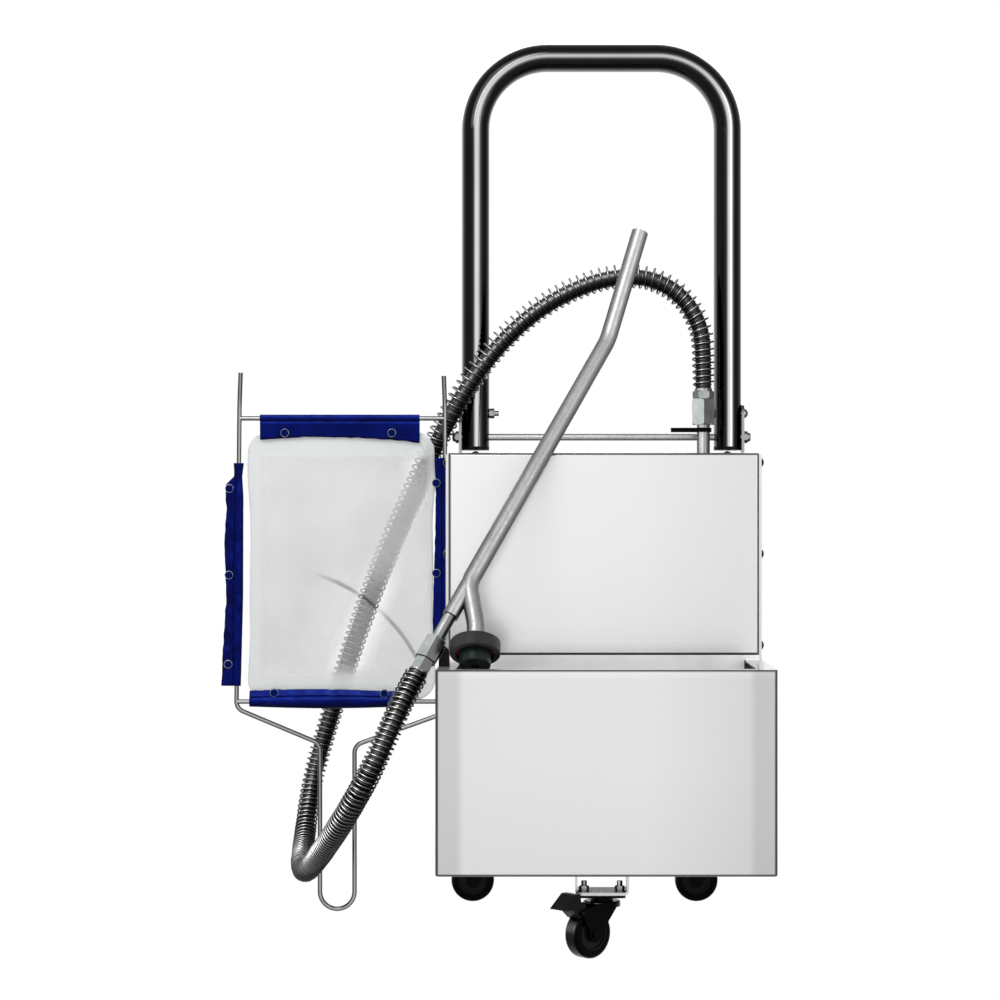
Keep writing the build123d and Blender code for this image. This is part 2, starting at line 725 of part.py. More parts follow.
def make_motor_casing():
    left = motor_left()
    case = rod((left, DRIVE_Y, SHAFT_Z), (MOTOR_RIGHT, DRIVE_Y, SHAFT_Z), MOTOR_D / 2)
    ends = case.edges().filter_by(GeomType.CIRCLE)
    case = fillet(ends, MOTOR_WALL * 2)
    legs = box(left + MOTOR_WALL * 3, MOTOR_RIGHT - MOTOR_WALL * 3, DRIVE_Y - MOTOR_D / 3,
               DRIVE_Y + MOTOR_D / 3, DECK_TOP, SHAFT_Z)
    plate = box(left + MOTOR_WALL * 3, MOTOR_RIGHT - MOTOR_WALL * 3,
                DRIVE_Y - MOTOR_FOOT_W / 2, DRIVE_Y + MOTOR_FOOT_W / 2, DECK_TOP,
                DECK_TOP + MOTOR_FOOT_T)
    inside = rod((left + MOTOR_WALL, DRIVE_Y, SHAFT_Z),
                 (MOTOR_RIGHT - MOTOR_WALL, DRIVE_Y, SHAFT_Z), MOTOR_D / 2 - MOTOR_WALL)
    bore = rod((left - CUT, DRIVE_Y, SHAFT_Z), (MOTOR_RIGHT + CUT, DRIVE_Y, SHAFT_Z),
               SHAFT_D / 2 + RUN_FIT)
    return case + legs + plate - inside - bore


def make_motor_stator():
    middle = (motor_left() + MOTOR_RIGHT) / 2
    return tube((middle - STATOR_L / 2, DRIVE_Y, SHAFT_Z), (middle + STATOR_L / 2, DRIVE_Y, SHAFT_Z),
                MOTOR_D / 2 - MOTOR_WALL, STATOR_BORE / 2)


def pump_left():
    return PUMP_X - PUMP_L / 2


def make_motor_rotor():
    middle = (motor_left() + MOTOR_RIGHT) / 2
    shaft_end = PUMP_X + GEAR_FACE / 2
    shaft = rod((motor_left() - SHAFT_OVERHANG, DRIVE_Y, SHAFT_Z), (shaft_end, DRIVE_Y, SHAFT_Z),
                SHAFT_D / 2)
    core = rod((middle - STATOR_L / 2, DRIVE_Y, SHAFT_Z), (middle + STATOR_L / 2, DRIVE_Y, SHAFT_Z),
               STATOR_BORE / 2 - ROTOR_GAP)
    return shaft + core


def gear_face(phase):
    """The outline of a spur gear, with one tooth at angle phase."""
    pitch_r = GEAR_PITCH_D / 2
    root_r = pitch_r - GEAR_DEDENDUM
    tip_r = pitch_r + GEAR_ADDENDUM
    blank = Circle(root_r)
    for number in range(GEAR_TEETH):
        tooth = Polyline(
            (root_r - CUT, -TOOTH_AT_ROOT / 2),
            (root_r, -TOOTH_AT_ROOT / 2),
            (pitch_r, -TOOTH_AT_PITCH / 2),
            (tip_r, -TOOTH_AT_TIP / 2),
            (tip_r, TOOTH_AT_TIP / 2),
            (pitch_r, TOOTH_AT_PITCH / 2),
            (root_r, TOOTH_AT_ROOT / 2),
            (root_r - CUT, TOOTH_AT_ROOT / 2),
            close=True,
        )
        blank += Rot(0, 0, phase + number * 360 / GEAR_TEETH) * make_face(tooth)
    return blank


def gear_solid(y, phase):
    side = Plane(origin=(PUMP_X - GEAR_FACE / 2, y, SHAFT_Z), x_dir=(0, 1, 0), z_dir=(1, 0, 0))
    return extrude(side * gear_face(phase), amount=GEAR_FACE)


def make_drive_gear():
    bore = rod((pump_left() - CUT, DRIVE_Y, SHAFT_Z), (PUMP_X + PUMP_L, DRIVE_Y, SHAFT_Z),
               SHAFT_D / 2)
    return gear_solid(DRIVE_Y, 0) - bore


def make_driven_gear():
    stub = rod((PUMP_X - GEAR_FACE / 2 - STUB_L, DRIVEN_Y, SHAFT_Z),
               (PUMP_X + GEAR_FACE / 2 + STUB_L, DRIVEN_Y, SHAFT_Z), STUB_D / 2)
    return gear_solid(DRIVEN_Y, 180 + 180 / GEAR_TEETH) + stub


def make_pump_body():
    right = pump_left() + PUMP_L
    cavity_r = GEAR_PITCH_D / 2 + GEAR_ADDENDUM + GEAR_TIP_GAP
    front = DRIVE_Y - cavity_r - PUMP_MARGIN
    rear = DRIVEN_Y + cavity_r + PUMP_MARGIN
    body = box(pump_left(), right, front, rear, SHAFT_Z - PUMP_H / 2, SHAFT_Z + PUMP_H / 2)
    body = fillet(body.edges().filter_by(Axis.X), PUMP_MARGIN)
    body += box(pump_left(), right, front, front + PUMP_LEG_W, DECK_TOP, SHAFT_Z)
    body += box(pump_left(), right, rear - PUMP_LEG_W, rear, DECK_TOP, SHAFT_Z)
    half = GEAR_FACE / 2 + GEAR_SIDE_GAP
    for y in (DRIVE_Y, DRIVEN_Y):
        body -= rod((PUMP_X - half, y, SHAFT_Z), (PUMP_X + half, y, SHAFT_Z), cavity_r)
    body -= rod((pump_left() - CUT, DRIVE_Y, SHAFT_Z), (PUMP_X, DRIVE_Y, SHAFT_Z),
                SHAFT_D / 2 + RUN_FIT)
    body -= rod((PUMP_X - GEAR_FACE / 2 - STUB_L - SEAT_GAP, DRIVEN_Y, SHAFT_Z),
                (PUMP_X + GEAR_FACE / 2 + STUB_L + SEAT_GAP, DRIVEN_Y, SHAFT_Z),
                STUB_D / 2 + RUN_FIT)
    body -= rod((PUMP_X, PUMP_Y, SHAFT_Z - PUMP_H), (PUMP_X, PUMP_Y, SHAFT_Z + PUMP_H),
                PIPE_OD / 2 - PIPE_WALL)
    return body


def make_suction_pipe():
    end = TANK_BOTTOM + SHEET + SUCTION_END_GAP
    top = SHAFT_Z - PUMP_H / 2
    inner_r = PIPE_OD / 2 - PIPE_WALL
    pipe = tube((PUMP_X, PUMP_Y, end), (PUMP_X, PUMP_Y, top), PIPE_OD / 2, inner_r)
    foot = TANK_BOTTOM + SHEET
    cup = rod((PUMP_X, PUMP_Y, foot), (PUMP_X, PUMP_Y, foot + STRAINER_H), STRAINER_D / 2)
    cup -= rod((PUMP_X, PUMP_Y, foot - CUT), (PUMP_X, PUMP_Y, foot + STRAINER_H - SHEET * 2),
               STRAINER_D / 2 - SHEET)
    cup -= rod((PUMP_X, PUMP_Y, foot), (PUMP_X, PUMP_Y, foot + STRAINER_H + CUT),
               PIPE_OD / 2 + RUN_FIT)
    for number in range(STRAINER_SLOTS):
        slot = box(0, STRAINER_D, -STRAINER_SLOT_W / 2, STRAINER_SLOT_W / 2,
                   foot - CUT, foot + STRAINER_H / 2)
        cup -= Pos(PUMP_X, PUMP_Y, 0) * Rot(0, 0, number * 360 / STRAINER_SLOTS) * slot
    return group([pipe, cup])


# ---- Outlet -----------------------------------------------------------------------------
def make_outlet_pipe():
    return tube((PUMP_X, PUMP_Y, SHAFT_Z + PUMP_H / 2), (PUMP_X, PUMP_Y, UNION_BOTTOM + PIPE_IN_UNION),
                PIPE_OD / 2, PIPE_OD / 2 - PIPE_WALL)


def make_valve_lever():
    outline = Polyline((0, -LEVER_ROOT_W / 2), (-LEVER_REACH, -LEVER_TIP_W / 2),
                       (-LEVER_REACH, LEVER_TIP_W / 2), (0, LEVER_ROOT_W / 2), close=True)
    arm = make_face(outline)
    arm = fillet(arm.vertices().group_by(Axis.X)[0], LEVER_TIP_W / 2 - 0.1)
    plate = extrude(arm + Circle(LEVER_COLLAR_D / 2), amount=LEVER_H)
    lever = Pos(PUMP_X, PUMP_Y, LEVER_BOTTOM) * plate
    hole = rod((PUMP_X, PUMP_Y, LEVER_BOTTOM - CUT), (PUMP_X, PUMP_Y, LEVER_BOTTOM + LEVER_H + CUT),
               PIPE_OD / 2 + RUN_FIT)
    return lever - hole


def make_outlet_union_nut():
    body = nut((PUMP_X, PUMP_Y, UNION_BOTTOM), (PUMP_X, PUMP_Y, UNION_TOP), UNION_AF, 30)
    body -= rod((PUMP_X, PUMP_Y, UNION_BOTTOM - CUT),
                (PUMP_X, PUMP_Y, UNION_BOTTOM + PIPE_IN_UNION), PIPE_OD / 2)
    return body - rod((PUMP_X, PUMP_Y, UNION_BOTTOM), (PUMP_X, PUMP_Y, UNION_TOP + CUT), HOSE_BORE / 2)


def make_outlet_hose_ferrule():
    body = nut((PUMP_X, PUMP_Y, UNION_TOP), (PUMP_X, PUMP_Y, UNION_TOP + FERRULE_H), FERRULE_AF)
    body += rod((PUMP_X, PUMP_Y, UNION_TOP + FERRULE_H), (PUMP_X, PUMP_Y, HOSE_START), COLLAR_D / 2)
    return body - rod((PUMP_X, PUMP_Y, UNION_TOP - CUT), (PUMP_X, PUMP_Y, HOSE_START + CUT),
                      HOSE_BORE / 2)


# ---- Wand -------------------------------------------------------------------------------
def wand_at(distance):
    """A point on the wand's straight axis, measured up from where it rests on the housing."""
    across = WAND_DIR.cross(Vector(1, 0, 0)).normalized()
    if across.Y > 0:
        across = across * -1
    edge = Vector(WAND_REST_X, DECK_FRONT + HOUSING_R, HOUSING_TOP - HOUSING_R)
    foot = edge + across * (HOUSING_R + WAND_OD / 2 + SEAT_GAP)
    return foot + WAND_DIR * distance


def wand_elbow():
    return wand_at(-ELBOW_BELOW_REST)


def bell_dir():
    return BRANCH_B.normalized()


def bell_back():
    return wand_elbow() + BRANCH_A + BRANCH_B


def make_wand_tube():
    bend = wand_at(BEND_ABOVE_REST)
    end = bell_back() + bell_dir() * BELL_HUB_INSET
    points = [end, wand_elbow() + BRANCH_A, wand_elbow(), bend, bend + WAND_TIP_OUT]
    radii = [BRANCH_R, ELBOW_R, WAND_BEND_R]
    return bent_tube(points, radii, WAND_OD / 2, WAND_OD / 2 - WAND_WALL)


def make_wand_inlet_sleeve():
    low = wand_at(-ELBOW_BELOW_REST - SLEEVE_BELOW_ELBOW)
    sleeve = rod(low, wand_elbow(), SLEEVE_OD / 2)
    sleeve -= rod(low - WAND_DIR * CUT, low + WAND_DIR * NIPPLE_IN_SLEEVE, NIPPLE_OD / 2)
    sleeve -= rod(low, wand_elbow(), NIPPLE_BORE / 2)
    bend = wand_at(BEND_ABOVE_REST)
    blank = bent_bar([bell_back(), wand_elbow() + BRANCH_A, wand_elbow(), bend],
                     [BRANCH_R, ELBOW_R], WAND_OD / 2)
    pieces = (sleeve - blank).solids()
    return pieces.sort_by(lambda s: s.volume)[-1]


def make_wand_nipple():
    low = wand_at(-WAND_UNION_TOP)
    high = wand_at(-ELBOW_BELOW_REST - SLEEVE_BELOW_ELBOW + NIPPLE_IN_SLEEVE)
    return tube(low, high, NIPPLE_OD / 2, NIPPLE_BORE / 2)


def wand_hex_turn():
    return 8.0


def make_wand_union_nut():
    low = wand_at(-WAND_UNION_TOP - WAND_UNION_L)
    high = wand_at(-WAND_UNION_TOP)
    return nut(low, high, WAND_UNION_AF, wand_hex_turn()) - rod(low, high, NIPPLE_BORE / 2)


def hose_end():
    return wand_at(-WAND_UNION_TOP - WAND_UNION_L - WAND_FERRULE_L - WAND_COLLAR_L)


def make_wand_hose_ferrule():
    low = wand_at(-WAND_UNION_TOP - WAND_UNION_L - WAND_FERRULE_L)
    high = wand_at(-WAND_UNION_TOP - WAND_UNION_L)
    body = nut(low, high, WAND_FERRULE_AF, wand_hex_turn()) + rod(hose_end(), low, COLLAR_D / 2)
    return body - rod(hose_end(), high, NIPPLE_BORE / 2)


def make_wand_bell():
    back = bell_back()
    front = back + bell_dir() * BELL_H
    bell = rod(back, front, BELL_OD / 2)
    bell = fillet(bell.edges().filter_by(GeomType.CIRCLE), BELL_EDGE_R)
    bell -= rod(back + bell_dir() * BELL_BACK, front + bell_dir() * CUT, BELL_BORE / 2)
    bell -= rod(back - bell_dir() * CUT, back + bell_dir() * BELL_HUB_INSET, WAND_OD / 2)
    return bell - rod(back, front, NIPPLE_BORE / 2)


def make_bell_seal():
    start = bell_back() + bell_dir() * BELL_BACK
    return tube(start, start + bell_dir() * SEAL_H, BELL_BORE / 2, SEAL_BORE / 2)


def make_bell_core():
    start = bell_back() + bell_dir() * BELL_BACK
    core = rod(start, start + bell_dir() * CORE_H, SEAL_BORE / 2)
    rims = core.edges().filter_by(GeomType.CIRCLE)
    core = fillet(rims.sort_by(Axis(tuple(start), tuple(bell_dir())))[-1], BELL_EDGE_R)
    return core - rod(start - bell_dir() * CUT, start + bell_dir() * (CORE_H + CUT), NIPPLE_BORE / 2)


def make_wand_rest():
    right = -TANK_W / 2 + REST_W
    middle = wand_at(-WAND_UNION_TOP - WAND_UNION_L / 2)
    block = box(-TANK_W / 2 + SEAT_GAP, right, middle.Y + CUT, middle.Y + CUT + REST_D,
                TANK_TOP, TANK_TOP + REST_H)
    block = fillet(block.edges().filter_by(Axis.Y).group_by(Axis.Z)[-1], REST_W * 0.4)
    corner_r = WAND_UNION_AF / 2 / cos(pi / 6)
    low = wand_at(-WAND_UNION_TOP - 2 * WAND_UNION_L)
    return block - rod(low, wand_at(-WAND_UNION_TOP + WAND_UNION_L), corner_r + REST_GAP)


# ---- Hose -------------------------------------------------------------------------------
def hose_route():
    """The hose's route from the outlet collar to the wand's ferrule, point by point."""
    end = hose_end()
    arch = [Vector(PUMP_X, PUMP_Y, HOSE_START)]
    arch += [Vector(PUMP_X + out, PUMP_Y, z) for out, z in ARCH_POINTS]
    hang = [Vector(ROD_RIGHT_X - out, PUMP_Y + back, z) for out, back, z in HANG_POINTS]
    return arch + hang + [end - WAND_DIR * HOSE_STRAIGHT, end]


def route_radii(route):
    """The radius of each corner's arc: 0.45 of the shorter run over the tangent of half the turn."""
    radii = []
    for before, corner, after in zip(route, route[1:], route[2:]):
        run_in = corner - before
        run_out = after - corner
        turn = radians(run_in.get_angle(run_out))
        radii.append(0.45 * min(run_in.length, run_out.length) / tan(turn / 2))
    return radii


def make_return_hose():
    route = hose_route()
    return bent_bar(route, route_radii(route), HOSE_OD / 2)


def make_hose_spring_guard():
    route = hose_route()
    return bent_tube(route, route_radii(route), GUARD_OD / 2, HOSE_OD / 2 + GUARD_FIT)


# ---- Filter frame and bag ---------------------------------------------------------------
def rod_left_x(z):
    """The left rod leans a little: its X at a given height."""
    share = (z - ROD_LEFT_LOW_Z) / (ROD_KNEE_Z - ROD_LEFT_LOW_Z)
    return ROD_LEFT_LOW_X + share * (ROD_LEFT_TOP_X - ROD_LEFT_LOW_X)


def frame_points():
    low = WIRE_D / 2
    return [
        (ROD_LEFT_TOP_X + TIP_LEFT_SHIFT, FRAME_Y - TIP_FORWARD, TIP_LEFT_Z),
        (ROD_LEFT_TOP_X, FRAME_Y, ROD_KNEE_Z),
        (ROD_LEFT_LOW_X, FRAME_Y, ROD_LEFT_LOW_Z),
        (LOOP_LEFT_X, FRAME_Y, LOOP_LEFT_Z),
        (LOOP_LEFT_X, FRAME_Y, low),
        (LOOP_RIGHT_X, FRAME_Y, low),
        (LOOP_RIGHT_X, FRAME_Y, LOOP_RIGHT_Z),
        (ROD_RIGHT_X, FRAME_Y, ROD_RIGHT_LOW_Z),
        (ROD_RIGHT_X, FRAME_Y, ROD_KNEE_Z),
        (ROD_RIGHT_X + TIP_RIGHT_SHIFT, FRAME_Y - TIP_FORWARD, TIP_RIGHT_Z),
    ]


def frame_bar(radius):
    loop_r = (LOOP_RIGHT_X - LOOP_LEFT_X) / 2 - 0.1
    knee_r = 60.0
    radii = [knee_r, CORNER_R, CORNER_R, loop_r, loop_r, CORNER_R, CORNER_R, knee_r]
    return bent_bar(frame_points(), radii, radius)


def make_filter_frame_wire():
    return frame_bar(WIRE_D / 2)


def make_frame_cross_wires():
    wires = []
    for z in (CROSS_TOP_Z, CROSS_LOW_Z):
        wire = rod((rod_left_x(z), FRAME_Y, z), (ROD_RIGHT_X, FRAME_Y, z), WIRE_D / 2)
        pieces = (wire - frame_bar(WIRE_D / 2 + RUN_FIT)).solids()
        wires.append(pieces.sort_by(lambda s: s.volume)[-1])
    return group(wires)


def make_filter_bag():
    front = FLAP_FRONT + FLAP_T + BAG_GAP
    sheet = box(ROD_RIGHT_X - BAG_LEFT_OUT, ROD_RIGHT_X - BAG_RIGHT_OUT, front, front + BAG_T,
                BAG_LOW, BAG_HIGH)
    return fillet(sheet.edges().filter_by(Axis.Y), BAG_R)


def wire_hole():
    return frame_bar(WIRE_D / 2 + SEAT_GAP)


def make_bag_sleeve_top():
    x0, x1 = [ROD_RIGHT_X - out for out in TOP_SLEEVE]
    roll = rod((x0, FRAME_Y, CROSS_TOP_Z), (x1, FRAME_Y, CROSS_TOP_Z), SLEEVE_R)
    flap = box(x0, x1, FLAP_FRONT, FLAP_FRONT + FLAP_T, CROSS_TOP_Z - TOP_SLEEVE_DROP, CROSS_TOP_Z)
    hole = rod((x0 - CUT, FRAME_Y, CROSS_TOP_Z), (x1 + CUT, FRAME_Y, CROSS_TOP_Z),
               WIRE_D / 2 + SEAT_GAP)
    return roll + flap - hole


def make_bag_sleeve_bottom():
    x0, x1 = [ROD_RIGHT_X - out for out in LOW_SLEEVE]
    roll = rod((x0, FRAME_Y, CROSS_LOW_Z), (x1, FRAME_Y, CROSS_LOW_Z), SLEEVE_R)
    flap = box(x0, x1, FLAP_FRONT, FLAP_FRONT + FLAP_T, CROSS_LOW_Z - LOW_SLEEVE_DROP,
               CROSS_LOW_Z + LOW_SLEEVE_RISE)
    hole = rod((x0 - CUT, FRAME_Y, CROSS_LOW_Z), (x1 + CUT, FRAME_Y, CROSS_LOW_Z),
               WIRE_D / 2 + SEAT_GAP)
    return roll + flap - hole


def make_bag_sleeve_left():
    z0, z1 = LEFT_SLEEVE
    roll = rod((rod_left_x(z0), FRAME_Y, z0), (rod_left_x(z1), FRAME_Y, z1), SLEEVE_R)
    flap = box(rod_left_x(z0) - LEFT_FLAP_OUT, rod_left_x(z1) + LEFT_FLAP_IN, FLAP_FRONT,
               FLAP_FRONT + FLAP_T, z0, z1)
    return roll + flap - wire_hole()


def make_bag_sleeve_right():
    z0, z1 = RIGHT_SLEEVE
    roll = rod((ROD_RIGHT_X, FRAME_Y, z0), (ROD_RIGHT_X, FRAME_Y, z1), SLEEVE_R)
    flap = box(ROD_RIGHT_X - RIGHT_FLAP_IN, ROD_RIGHT_X, FLAP_FRONT, FLAP_FRONT + FLAP_T, z0, z1)
    return roll + flap - wire_hole()


def make_bag_snaps():
    snaps = []
    for out, z in SNAP_PLACES:
        x = ROD_RIGHT_X - out
        back = FLAP_FRONT - RUN_FIT
        snap = rod((x, back, z), (x, back - SNAP_H, z), SNAP_D / 2)
        rim = snap.faces().sort_by(Axis.Y)[0].edges()
        snaps.append(fillet(rim, SNAP_H / 2))
    return group(snaps)


# ---- Casters ----------------------------------------------------------------------------
def caster_place(name):
    x, y, heading = CASTERS[name]
    return Pos(x, y, 0) * Rot(0, 0, heading)


def caster_bolt_tools(radius):
    tools = []
    for x, y, heading in CASTERS.values():
        for side in (-1, 1):
            place = x + side * CASTER_BOLT_PITCH / 2
            tools.append(rod((place, y, CROWN_TOP), (place, y, TANK_BOTTOM), radius))
    return tools


def make_caster_brackets():
    channels = []
    for x, y, heading in CASTERS.values():
        half = CHANNEL_W / 2
        outer = box(x - half, x + half, y - CHANNEL_D / 2, y + CHANNEL_D / 2,
                    CHANNEL_BOTTOM, TANK_BOTTOM)
        outer = fillet(outer.edges().filter_by(Axis.Y).group_by(Axis.Z)[0], CHANNEL_BEND_R)
        inner = box(x - half + CHANNEL_T, x + half - CHANNEL_T, y - CHANNEL_D, y + CHANNEL_D,
                    CHANNEL_BOTTOM + CHANNEL_FLOOR_T, TANK_BOTTOM + CUT)
        inner = fillet(inner.edges().filter_by(Axis.Y).group_by(Axis.Z)[0],
                       CHANNEL_BEND_R - CHANNEL_FLOOR_T)
        channels.append(outer - inner)
    return group(cut_all(channels, caster_bolt_tools(CASTER_BOLT_D / 2 + BOLT_FIT)))


def make_caster_plates():
    plates = []
    low = CHANNEL_BOTTOM - PLATE_T
    head_top = CROWN_TOP - CROWN_WEB - RUN_FIT
    for x, y, heading in CASTERS.values():
        plate = box(x - PLATE_W / 2, x + PLATE_W / 2, y - PLATE_D / 2, y + PLATE_D / 2,
                    low, CHANNEL_BOTTOM)
        plate = fillet(plate.edges().filter_by(Axis.Z), PLATE_T * 2)
        plate += rod((x, y, CROWN_TOP + RACE_GAP), (x, y, low), RACE_D / 2)
        plate += rod((x, y, head_top - KINGPIN_HEAD_H), (x, y, low), KINGPIN_D / 2)
        plate += rod((x, y, head_top - KINGPIN_HEAD_H), (x, y, head_top), KINGPIN_HEAD_D / 2)
        plates.append(plate)
    return group(cut_all(plates, caster_bolt_tools(CASTER_BOLT_D / 2 + BOLT_FIT)))


def make_caster_bolts():
    pieces = []
    low = CHANNEL_BOTTOM - PLATE_T
    floor = CHANNEL_BOTTOM + CHANNEL_FLOOR_T
    for x, y, heading in CASTERS.values():
        for side in (-1, 1):
            place = x + side * CASTER_BOLT_PITCH / 2
            bolt = rod((place, y, low - CASTER_HEAD_H), (place, y, low), CASTER_HEAD_D / 2)
            bolt = fillet(bolt.faces().sort_by(Axis.Z)[0].edges(), CASTER_HEAD_H / 2)
            bolt += rod((place, y, low), (place, y, CASTER_BOLT_TIP), CASTER_BOLT_D / 2)
            hole = rod((place, y, low), (place, y, TANK_BOTTOM), CASTER_BOLT_D / 2 + RUN_FIT)
            pieces.append(bolt)
            blank = nut((place, y, floor), (place, y, floor + CASTER_NUT_H), CASTER_NUT_AF)
            pieces.append(blank - hole)
    return group(pieces)


def leg_outline(with_ears):
    """One fork leg seen from the side: X along the trail, Y for height."""
    half_crown = CROWN_D / 2 - 5 * CUT
    top = CROWN_TOP - CROWN_WEB + CUT
    points = [(-half_crown, top), (half_crown, top)]
    if with_ears:
        points += [(PEDAL_PIN_R, PEDAL_PIN_Z + PEDAL_PIN_D), (PEDAL_PIN_R, PEDAL_PIN_Z - PEDAL_PIN_D)]
    points += [(WHEEL_TRAIL + FORK_LEG_R, WHEEL_R + FORK_LEG_R / 3), (WHEEL_TRAIL, WHEEL_R),
               (WHEEL_TRAIL - FORK_LEG_R, WHEEL_R)]
    shape = make_face(Polyline(*points, close=True))
    shape += Pos(WHEEL_TRAIL, WHEEL_R) * Circle(FORK_LEG_R)
    if with_ears:
        shape += Pos(PEDAL_PIN_R, PEDAL_PIN_Z) * Circle(PEDAL_PIN_D)
    return shape


def make_fork(name, with_ears=False):
    crown = rod((0, 0, CROWN_TOP - CROWN_H), (0, 0, CROWN_TOP), CROWN_D / 2)
    crown = fillet(crown.faces().sort_by(Axis.Z)[-1].edges(), CROWN_EDGE_R)
    hollow_r = CROWN_D / 2 - CROWN_WEB
    crown -= rod((0, 0, 0), (0, 0, CROWN_TOP - CROWN_WEB), hollow_r)
    fork = crown
    for side in (-1, 1):
        plane = Plane(origin=(0, side * FORK_IN, 0), x_dir=(1, 0, 0), z_dir=(0, -1, 0))
        fork += extrude(plane * leg_outline(with_ears), amount=-side * FORK_T)
    fork -= rod((0, 0, 0), (0, 0, CROWN_TOP + CUT), KINGPIN_D / 2 + RUN_FIT)
    fork -= rod((WHEEL_TRAIL, -FORK_OUT - CUT, WHEEL_R), (WHEEL_TRAIL, FORK_OUT + CUT, WHEEL_R),
                AXLE_D / 2 + RUN_FIT)
    if with_ears:
        fork -= rod((PEDAL_PIN_R, -FORK_OUT - CUT, PEDAL_PIN_Z),
                    (PEDAL_PIN_R, FORK_OUT + CUT, PEDAL_PIN_Z), PEDAL_PIN_D / 2 + RUN_FIT)
    return caster_place(name) * fork


def make_axle(name):
    x = WHEEL_TRAIL
    axle = rod((x, -FORK_OUT, WHEEL_R), (x, FORK_OUT, WHEEL_R), AXLE_D / 2)
    for side in (-1, 1):
        head = rod((x, side * FORK_OUT, WHEEL_R), (x, side * (FORK_OUT + AXLE_HEAD_H), WHEEL_R),
                   AXLE_HEAD_D / 2)
        axle += head
    return caster_place(name) * axle


def make_hub(name):
    x = WHEEL_TRAIL
    half = WHEEL_W / 2
    hub = rod((x, -half, WHEEL_R), (x, half, WHEEL_R), HUB_D / 2)
    for side in (-1, 1):
        dish = tube((x, side * half, WHEEL_R), (x, side * (half - HUB_DISH), WHEEL_R),
                    HUB_D / 2 - HUB_DISH, AXLE_HEAD_D / 2 + HUB_DISH)
        hub -= dish
    hub -= rod((x, -WHEEL_W, WHEEL_R), (x, WHEEL_W, WHEEL_R), AXLE_D / 2 + RUN_FIT)
    return caster_place(name) * hub


def make_tyre(name):
    x = WHEEL_TRAIL
    half = WHEEL_W / 2
    tyre = rod((x, -half, WHEEL_R), (x, half, WHEEL_R), WHEEL_D / 2)
    tyre = fillet(tyre.edges().filter_by(GeomType.CIRCLE), WHEEL_EDGE_R)
    tyre -= rod((x, -WHEEL_W, WHEEL_R), (x, WHEEL_W, WHEEL_R), HUB_D / 2)
    return caster_place(name) * tyre


def make_brake_pedal():
    plane = Plane(origin=(0, PEDAL_W / 2, 0), x_dir=(1, 0, 0), z_dir=(0, -1, 0))
    pedal = extrude(plane * make_face(Polyline(*PEDAL_OUTLINE, close=True)), amount=PEDAL_W)
    long_edges = pedal.edges().filter_by(Axis.Y)
    pedal = fillet(long_edges.group_by(Axis.Z)[-1], 2 * CUT)
    pedal += rod((PEDAL_PIN_R, -FORK_OUT, PEDAL_PIN_Z), (PEDAL_PIN_R, FORK_OUT, PEDAL_PIN_Z),
                 PEDAL_PIN_D / 2)
    return caster_place("front") * pedal


# ---- Whole cart -------------------------------------------------------------------------
def make_parts():
    parts = {
        "tank": make_tank(),
        "deck_plate": make_deck_plate(),
        "pump_housing": make_pump_housing(),
        "rear_panel": make_rear_panel(),
        "side_panels": make_side_panels(),
        "panel_screws": make_panel_screws(),
        "power_inlet": make_power_inlet(),
        "power_switch": make_power_switch(),
        "handle_tube": make_handle_tube(),
        "handle_plugs": make_handle_plugs(),
        "handle_brackets": make_handle_brackets(),
        "cross_rod": make_cross_rod(),
        "cap_nuts": make_cap_nuts(),
        "handle_bolts": make_handle_bolts(),
        "handle_nuts": make_handle_nuts(),
        "motor_casing": group([make_motor_casing(), make_motor_stator()]),
        "motor_rotor": make_motor_rotor(),
        "drive_gear": make_drive_gear(),
        "driven_gear": make_driven_gear(),
        "pump_body": make_pump_body(),
        "suction_pipe": make_suction_pipe(),
        "outlet_pipe": make_outlet_pipe(),
        "valve_lever": make_valve_lever(),
        "outlet_union_nut": make_outlet_union_nut(),
        "outlet_hose_ferrule": make_outlet_hose_ferrule(),
        "return_hose": make_return_hose(),
        "hose_spring_guard": make_hose_spring_guard(),
        "wand_tube": make_wand_tube(),
        "wand_inlet_sleeve": make_wand_inlet_sleeve(),
        "wand_nipple": make_wand_nipple(),
        "wand_union_nut": make_wand_union_nut(),
        "wand_hose_ferrule": make_wand_hose_ferrule(),
        "wand_bell": make_wand_bell(),
        "bell_seal": make_bell_seal(),
        "bell_core": make_bell_core(),
        "wand_rest": make_wand_rest(),
        "filter_frame_wire": make_filter_frame_wire(),
        "frame_cross_wires": make_frame_cross_wires(),
        "filter_bag": make_filter_bag(),
        "bag_sleeve_top": make_bag_sleeve_top(),
        "bag_sleeve_bottom": make_bag_sleeve_bottom(),
        "bag_sleeve_left": make_bag_sleeve_left(),
        "bag_sleeve_right": make_bag_sleeve_right(),
        "bag_snaps": make_bag_snaps(),
        "caster_brackets": make_caster_brackets(),
        "caster_plates": make_caster_plates(),
        "caster_bolts": make_caster_bolts(),
        "brake_pedal": make_brake_pedal(),
    }
    for name in CASTERS:
        parts["caster_fork_" + name] = make_fork(name, with_ears=name == "front")
        parts["caster_axle_" + name] = make_axle(name)
        parts["caster_hub_" + name] = make_hub(name)
        parts["caster_tyre_" + name] = make_tyre(name)
    return parts


CORDS = ("return_hose", "hose_spring_guard")


def frame_shift(parts):
    """The move that puts the origin under the middle of the model, on the floor."""
    boxes = [solid.bounding_box() for name, solid in parts.items() if name not in CORDS]
    low_x = min(b.min.X for b in boxes)
    high_x = max(b.max.X for b in boxes)
    low_y = min(b.min.Y for b in boxes)
    high_y = max(b.max.Y for b in boxes)
    low_z = min(b.min.Z for b in boxes)
    return Vector(-(low_x + high_x) / 2, -(low_y + high_y) / 2, -low_z)


